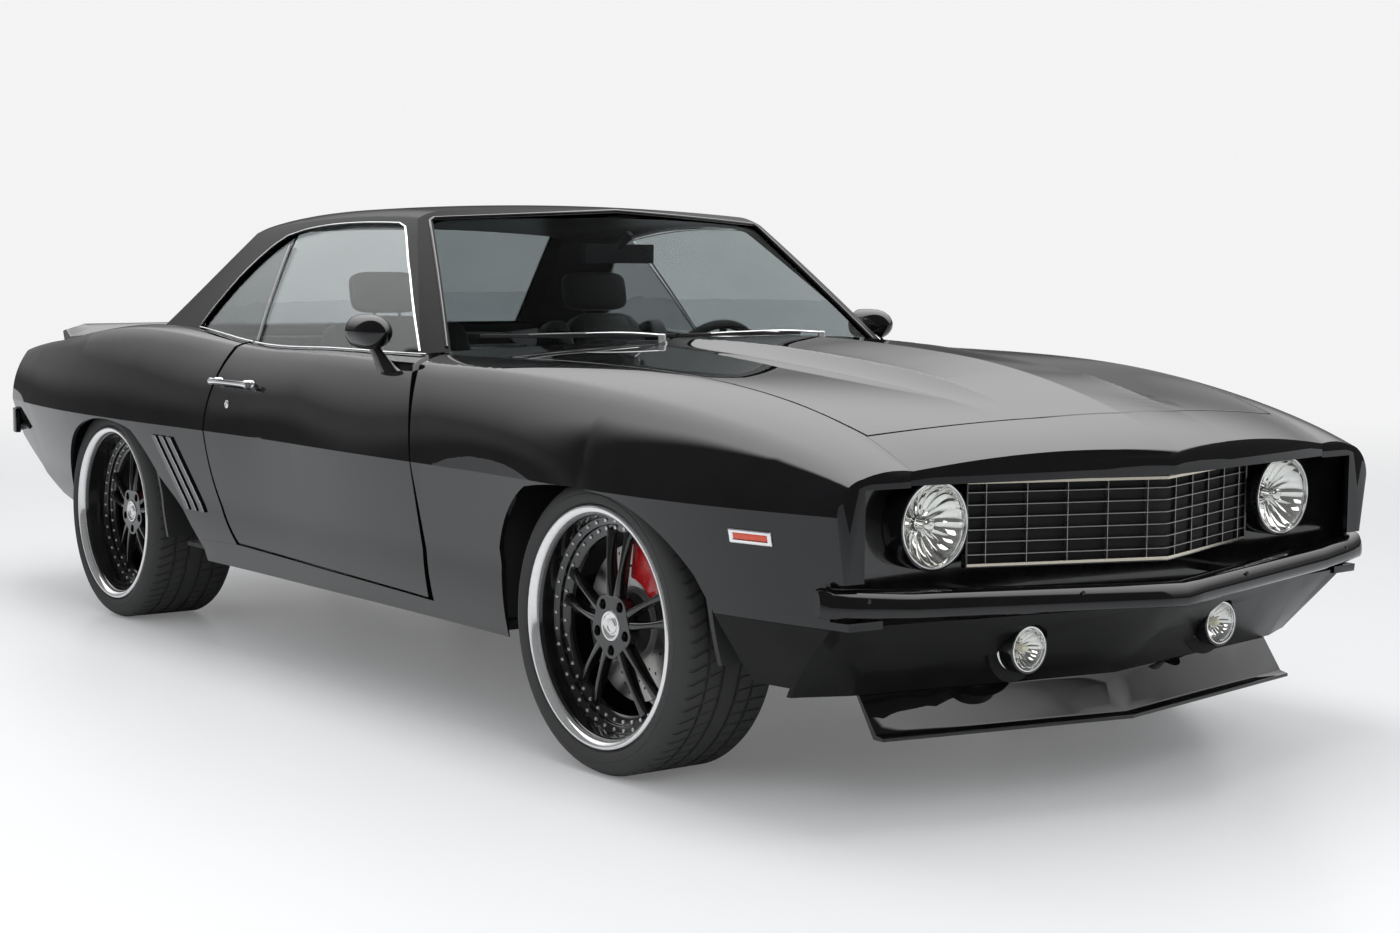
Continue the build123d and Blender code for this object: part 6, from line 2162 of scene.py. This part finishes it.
    def wheel(self) -> None:
        """Steering wheel: leather rim, three spokes and a horn pad."""
        tilt = self.steer_tilt
        axis = Vector((-math.cos(tilt), 0.0, math.sin(tilt)))
        wide = Vector((0.0, 1.0, 0.0))
        high = axis.cross(wide).normalized()
        if high.z < 0:
            high = -high
        centre = Vector(self.steer) / 1000
        radius = self.steer_radius / 1000
        rim = [centre + (wide * math.cos(a) + high * math.sin(a)) * radius
               for a in angles(96)]
        ring = tube(rim, 0.0136, 14, closed=True)
        grip = ring.piece("steering_rim", LEATHER, "steering_wheel", 60)
        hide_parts("steering_wheel")
        spokes = Builder()
        for k in range(3):
            a = math.pi / 2 + 2 * math.pi * k / 3
            ray = wide * math.cos(a) + high * math.sin(a)
            across = axis.cross(ray)
            rows = []
            for t, half in ((0.03, 0.026), (0.06, 0.021), (0.11, 0.016), (0.150, 0.013),
                            (0.164, 0.015)):
                p = centre + ray * t - axis * 0.004
                rows.append([p + across * half - axis * 0.0018, p + across * half + axis * 0.0018,
                             p - across * half + axis * 0.0018, p - across * half - axis * 0.0018])
            spokes.grid(rows, wrap_row=True)
        spokes.piece("steering_spokes", STEEL, "steering_wheel", 30)
        pad = Builder()
        rows = []
        for r, h in ((0.034, -0.022), (0.046, -0.014), (0.047, 0.002), (0.042, 0.008),
                     (0.028, 0.011), (0.0001, 0.012)):
            rows.append([centre + (wide * math.cos(a) + high * math.sin(a)) * r + axis * (h - 0.002)
                         for a in angles(40)])
        pad.grid(rows, wrap_row=True)
        pad.piece("steering_horn_pad", DASH, "steering_wheel", 40)

    def gauges(self) -> None:
        """Two hooded dials, a row of small ones and vents on the dashboard face."""
        bezel, dial = Builder(), Builder()
        spots = [(275, 796, 44), (455, 796, 44)]
        spots += [(365, 812, 24), (365, 758, 24), (-60, 800, 26), (0, 800, 26), (60, 800, 26)]
        spots += [(-420, 806, 32), (-640, 806, 32), (640, 806, 32)]
        for y, z, r in spots:
            x = 482 + (z - 760) * 18 / 90 - 3.5

            def ring(radius: float, ahead: float) -> list[Point]:
                """Circle on the dashboard face.

                Args:
                    radius: its radius.
                    ahead: distance from the face.

                Returns:
                    Points in metres.
                """
                return [((x - ahead) / 1000, (y + radius * math.cos(a)) / 1000,
                         (z + radius * math.sin(a)) / 1000)
                        for a in angles(36)]
            bezel.grid([ring(r, -6), ring(r, 3), ring(r - 2, 5), ring(r - 4, 3), ring(r - 4, -6)],
                       wrap_row=True)
            dial.grid([ring(r - 4, 0), ring(0.01, 0)], wrap_row=True)
        bezel.piece("dial_bezels", CHROME, "body", 40)
        dial.piece("dial_faces", SATIN_BLACK, "body", 40)

    def build(self) -> None:
        """Everything in the cabin and the wipers in front of it."""
        both(self.front_seat)
        self.rear_seats()
        self.wiper_set()
        self.wheel()
        self.gauges()
        softened("cabin_mirror", "body", SATIN_BLACK, 0.006)
        LOG.info("cabin")


@dataclass(frozen=True)
class Tail:
    """Lamps, bumper and spoiler at the back. Sizes in millimetres."""

    lamp_low: float = 652.0
    lamp_high: float = 750.0
    lamp_in: float = 300.0
    lamp_out: float = 640.0
    columns: int = 3

    def lamp(self, side: int) -> None:
        """One tail lamp: bright frame, bars and ribbed lenses.

        Args:
            side: 1 left, -1 right.
        """
        tag = side_name(side)
        tree = surface_of("tail_lamps")

        def face(y: float, z: float, back: float) -> Point:
            """Point on the lamp's rear face, moved outwards by back."""
            hit = tree.ray_cast(Vector((-3.0, side * y / 1000, z / 1000)), Vector((1, 0, 0)))[0]
            return ((hit.x if hit else -2.28) - back / 1000, side * y / 1000, z / 1000)
        inset = 4.0
        y0, y1 = self.lamp_in + inset, self.lamp_out - inset
        z0, z1 = self.lamp_low + inset, self.lamp_high - inset
        steps = 14
        edge = [(y0 + (y1 - y0) * k / steps, z0) for k in range(steps)]
        edge += [(y1, z0 + (z1 - z0) * k / 4) for k in range(4)]
        edge += [(y1 - (y1 - y0) * k / steps, z1) for k in range(steps)]
        edge += [(y0, z1 - (z1 - z0) * k / 4) for k in range(4)]
        bar = tube([face(y, z, 0.6) for y, z in edge], 0.0032, 8, closed=True)
        for k in range(1, self.columns):
            y = y0 + (y1 - y0) * k / self.columns
            bar.join(tube([face(y, z0 + (z1 - z0) * j / 4, 0.8) for j in range(5)], 0.0026, 8))
        bar.piece(f"tail_lamp_frame_{tag}", CHROME, "body", 50)
        lens = Builder()
        rows = []
        for j in range(49):
            z = z0 + (z1 - z0) * j / 48
            ripple = 0.8 * abs(math.sin(math.pi * j / 4))
            rows.append([face(y0 + (y1 - y0) * k / 40, z, 0.2 + ripple) for k in range(41)])
        lens.grid(rows)
        inner = [[(x + 0.004, y, z) for x, y, z in row] for row in (rows[0], rows[-1])]
        lens.grid([rows[0], inner[0], inner[1], rows[-1]])
        piece = lens.piece(f"tail_lamp_lens_{tag}", RED_LENS, "body", 50)
        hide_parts("tail_lamps")

    def build(self) -> None:
        """Everything at the back."""
        both(self.lamp)
        softened("rear_bumper", "body", PAINT, 0.004)
        softened("rear_spoiler", "boot_lid", PAINT, 0.003)
        LOG.info("tail")


# ---- carried nodes
CARRIED: dict[str, Finish] = {
    "windscreen": SCREEN, "rear_window": SCREEN, "quarter_glass": QUARTER_GLASS,
    "door_glass_left": GLASS, "door_glass_right": GLASS,
    "wheel_housings": CHASSIS, "floor_pan": CARPET, "sill_beams": CHASSIS,
    "knuckle_left": CAST, "knuckle_right": CAST, "front_subframe": CHASSIS,
    "engine_block": CAST, "rear_axle": CHASSIS, "front_valance": PAINT, "lamp_panel": TRIM_BLACK,
    "grille": TRIM_BLACK, "headlamps": TRIM_BLACK, "fog_lamps": TRIM_BLACK,
    "front_bumper": TRIM_BLACK, "chin_spoiler": TRIM_BLACK, "side_markers": CHROME,
    "side_gills": TRIM_BLACK, "tail_lamps": RED_LENS, "rear_bumper": TRIM_BLACK,
    "rear_spoiler": PAINT, "dashboard": DASH, "steering_wheel": SATIN_BLACK,
    "cabin_mirror": SATIN_BLACK, "wipers": SATIN_BLACK, "front_seats": LEATHER,
    "rear_seat": LEATHER, "exhaust": PIPE, "fuel_tank": CHASSIS,
    "mirror_left": PAINT, "mirror_right": PAINT,
}


def finish_nodes() -> None:
    """Gives every carried frame node its finish."""
    for name, obj in frame["nodes"].items():
        finish = CARRIED.get(name, TRIM_BLACK)
        if not obj.material_slots:
            obj.data.materials.append(finish.material())
        for slot in obj.material_slots:
            slot.material = finish.material()


# ---- studio
@dataclass(frozen=True)
class Studio:
    """Pale floor, soft light and the camera."""

    eye: Point = (5.5393, -3.739, 1.154)
    yaw: float = math.radians(142.66)
    pitch: float = math.radians(-5.218)
    roll: float = math.radians(0.437)
    lens: float = 58.405
    floor_size: float = 60.0
    floor_fade: Pair = (3.4, 12.0)
    floor_glow: float = 0.14
    white: float = 0.90
    dark: float = 0.10
    box_edge: float = math.radians(212)
    box_low: float = 0.19
    box_top: float = 4.3
    band: Pair = (0.04, 0.14)
    band_light: float = 0.20
    ambient: float = 0.84

    def camera(self) -> None:
        """Camera at the viewing angle of a low three-quarter front view."""
        data = bpy.data.cameras.new("camera")
        data.lens = self.lens
        data.sensor_width = 36.0
        data.clip_end = 200.0
        cam = bpy.data.objects.new("camera", data)
        forward = Vector((math.cos(self.pitch) * math.cos(self.yaw),
                          math.cos(self.pitch) * math.sin(self.yaw), math.sin(self.pitch)))
        right = forward.cross(Vector((0, 0, 1))).normalized()
        up = right.cross(forward)
        right2 = right * math.cos(self.roll) + up * math.sin(self.roll)
        up2 = up * math.cos(self.roll) - right * math.sin(self.roll)
        rows = [(right2[i], up2[i], -forward[i]) for i in range(3)]
        cam.matrix_world = Matrix(rows).to_4x4()
        cam.location = self.eye
        bpy.context.scene.collection.objects.link(cam)
        bpy.context.scene.camera = cam

    def floor(self) -> None:
        """Large pale floor with a faint sheen, which fades into the backdrop."""
        s = self.floor_size
        mesh = bpy.data.meshes.new("floor")
        mesh.from_pydata([(-s, -s, 0), (s, -s, 0), (s, s, 0), (-s, s, 0)], [], [(0, 1, 2, 3)])
        obj = bpy.data.objects.new("floor", mesh)
        bpy.context.scene.collection.objects.link(obj)
        mat = bpy.data.materials.new("studio_floor")
        mat.use_nodes = True
        tree = mat.node_tree
        wire = Wiring(tree)
        shader = tree.nodes["Principled BSDF"]
        where = wire.add("TexCoord").outputs["Object"]
        noise = wire.add("TexNoise", {"Scale": 0.7, "Vector": where}).outputs["Fac"]
        wire.feed(shader, {"Base Color": wire.ramp(noise, ((0.80, 0.805, 0.81),
                                                           (0.85, 0.855, 0.86))),
                           "Roughness": 0.32, "Specular IOR Level": 0.35})
        away = wire.add("VectorMath", {0: where}, operation="LENGTH").outputs["Value"]
        far = wire.ease(away, self.floor_fade, low=self.floor_glow)
        seen = wire.calc("MULTIPLY", far, wire.add("LightPath").outputs["Is Camera Ray"])
        glow = wire.add("Emission", {"Color": (self.white, self.white, self.white * 1.003, 1)})
        mix = wire.add("MixShader", {"Fac": seen, 1: shader.outputs["BSDF"],
                                     2: glow.outputs[0]})
        wire.feed(tree.nodes["Material Output"], {"Surface": mix.outputs[0]})
        mesh.materials.append(mat)

    def world(self) -> None:
        """White backdrop for the eye and through clear glass, a high soft box for the gloss."""
        world = bpy.data.worlds.new("studio")
        bpy.context.scene.world = world
        world.use_nodes = True
        world.node_tree.nodes.clear()
        wire = Wiring(world.node_tree)
        where = wire.add("TexCoord").outputs["Generated"]
        edge = self.box_edge - math.pi / 2
        aim = wire.add("VectorMath", {0: where, 1: (math.cos(edge), math.sin(edge), 0.0)},
                       operation="DOT_PRODUCT").outputs["Value"]
        cut = wire.ease(aim, (-0.02, 0.06))
        height = wire.add("SeparateXYZ", {0: where}).outputs["Z"]
        climb = wire.add("MapRange", {"Value": height, "From Min": self.box_low, "From Max": 1.0,
                                      "To Max": self.box_top}).outputs["Result"]
        lift = wire.calc("ADD", climb, wire.ease(height, self.band, high=self.band_light))
        box = wire.calc("MULTIPLY_ADD", cut, lift, self.dark)
        ray = wire.add("LightPath").outputs
        direct = wire.calc("LESS_THAN", ray["Glossy Depth"], 0.5)
        through = wire.calc("MULTIPLY", ray["Is Transmission Ray"], direct)
        plain = wire.calc("MAXIMUM", ray["Is Camera Ray"], through)
        choose = wire.add("Mix", {0: plain, 2: box, 3: self.white}, data_type="FLOAT")
        seen = wire.add("Background", {"Color": choose.outputs[0], "Strength": 1.0})
        light = wire.add("Background", {"Color": (0.95, 0.97, 1.0, 1), "Strength": self.ambient})
        either = wire.calc("MAXIMUM", ray["Is Camera Ray"], ray["Is Glossy Ray"])
        studio_ray = wire.calc("MAXIMUM", either, ray["Is Transmission Ray"])
        mix = wire.add("MixShader", {"Fac": studio_ray, 1: light.outputs[0],
                                     2: seen.outputs[0]})
        wire.add("OutputWorld", {"Surface": mix.outputs[0]})

    def lamp(self, name: str, where: Point, aim: Point, size: Pair, watts: float) -> None:
        """One soft rectangular lamp.

        Args:
            name: lamp name.
            where: its centre.
            aim: point it faces.
            size: width and height in metres.
            watts: power.
        """
        data = bpy.data.lights.new(name, "AREA")
        data.shape = "RECTANGLE"
        data.size, data.size_y = size
        data.energy = watts
        obj = bpy.data.objects.new(name, data)
        obj.location = where
        obj.rotation_euler = (Vector(aim) - Vector(where)).to_track_quat("-Z", "Y").to_euler()
        obj.visible_glossy = False
        bpy.context.scene.collection.objects.link(obj)

    def build(self) -> None:
        """Camera, floor, world and lamps."""
        self.camera()
        self.floor()
        self.world()
        self.lamp("top_strip", (0.2, -0.6, 5.2), (0.2, -0.2, 0.6), (6.0, 2.2), 150)
        self.lamp("front_fill", (6.5, -3.0, 3.6), (1.5, -0.4, 0.5), (2.6, 2.0), 50)
        self.lamp("side_fill", (0.5, -6.5, 2.6), (0.2, -0.6, 0.5), (5.0, 1.6), 40)
        LOG.info("studio")


# ---- assembly
PANELS = ("wings", "bonnet", "header_panel", "cowl_panel", "sills", "quarters",
          "deck_panel", "boot_lid", "tail_panel", "door_left", "door_right")


def main() -> None:
    """Builds the whole car and its studio."""
    logging.basicConfig(level=logging.INFO, format="%(name)s: %(message)s")
    bpy.context.scene.view_settings.view_transform = "Standard"
    Studio().build()
    finish_nodes()
    body = PaintSkin(BodyForm().hull())
    body.learn(PANELS, level=(3, 4, 5))
    raised = replace(body, relief=BonnetRelief(), facet=13.0)
    for node in PANELS:
        owner = node if node in frame["bodies"] else "body"
        (raised if node in ("bonnet", "header_panel") else body).dress(node, owner)
        LOG.info("panel %s", node)
    roof = PaintSkin(RoofForm().hull(), radius=0.0, agree=0.93, lining=SURROUND)
    roof.learn(("roof",), level=(3,))
    roof.dress("roof", "body", ROOF_PAINT)
    Nose().build()
    SideTrim(body.hull, roof.hull).build()
    Cabin().build()
    Tail().build()
    for name, x, outer_y, width, hub in (("front", 1421.0, 893.0, 270.0, 45.0),
                                         ("rear", -1322.0, 868.0, 288.0, 70.0)):
        for side in ("right", "left"):
            RoadWheel(name, side, x, outer_y, width, hub).build()


if __name__ == "__main__":
    main()
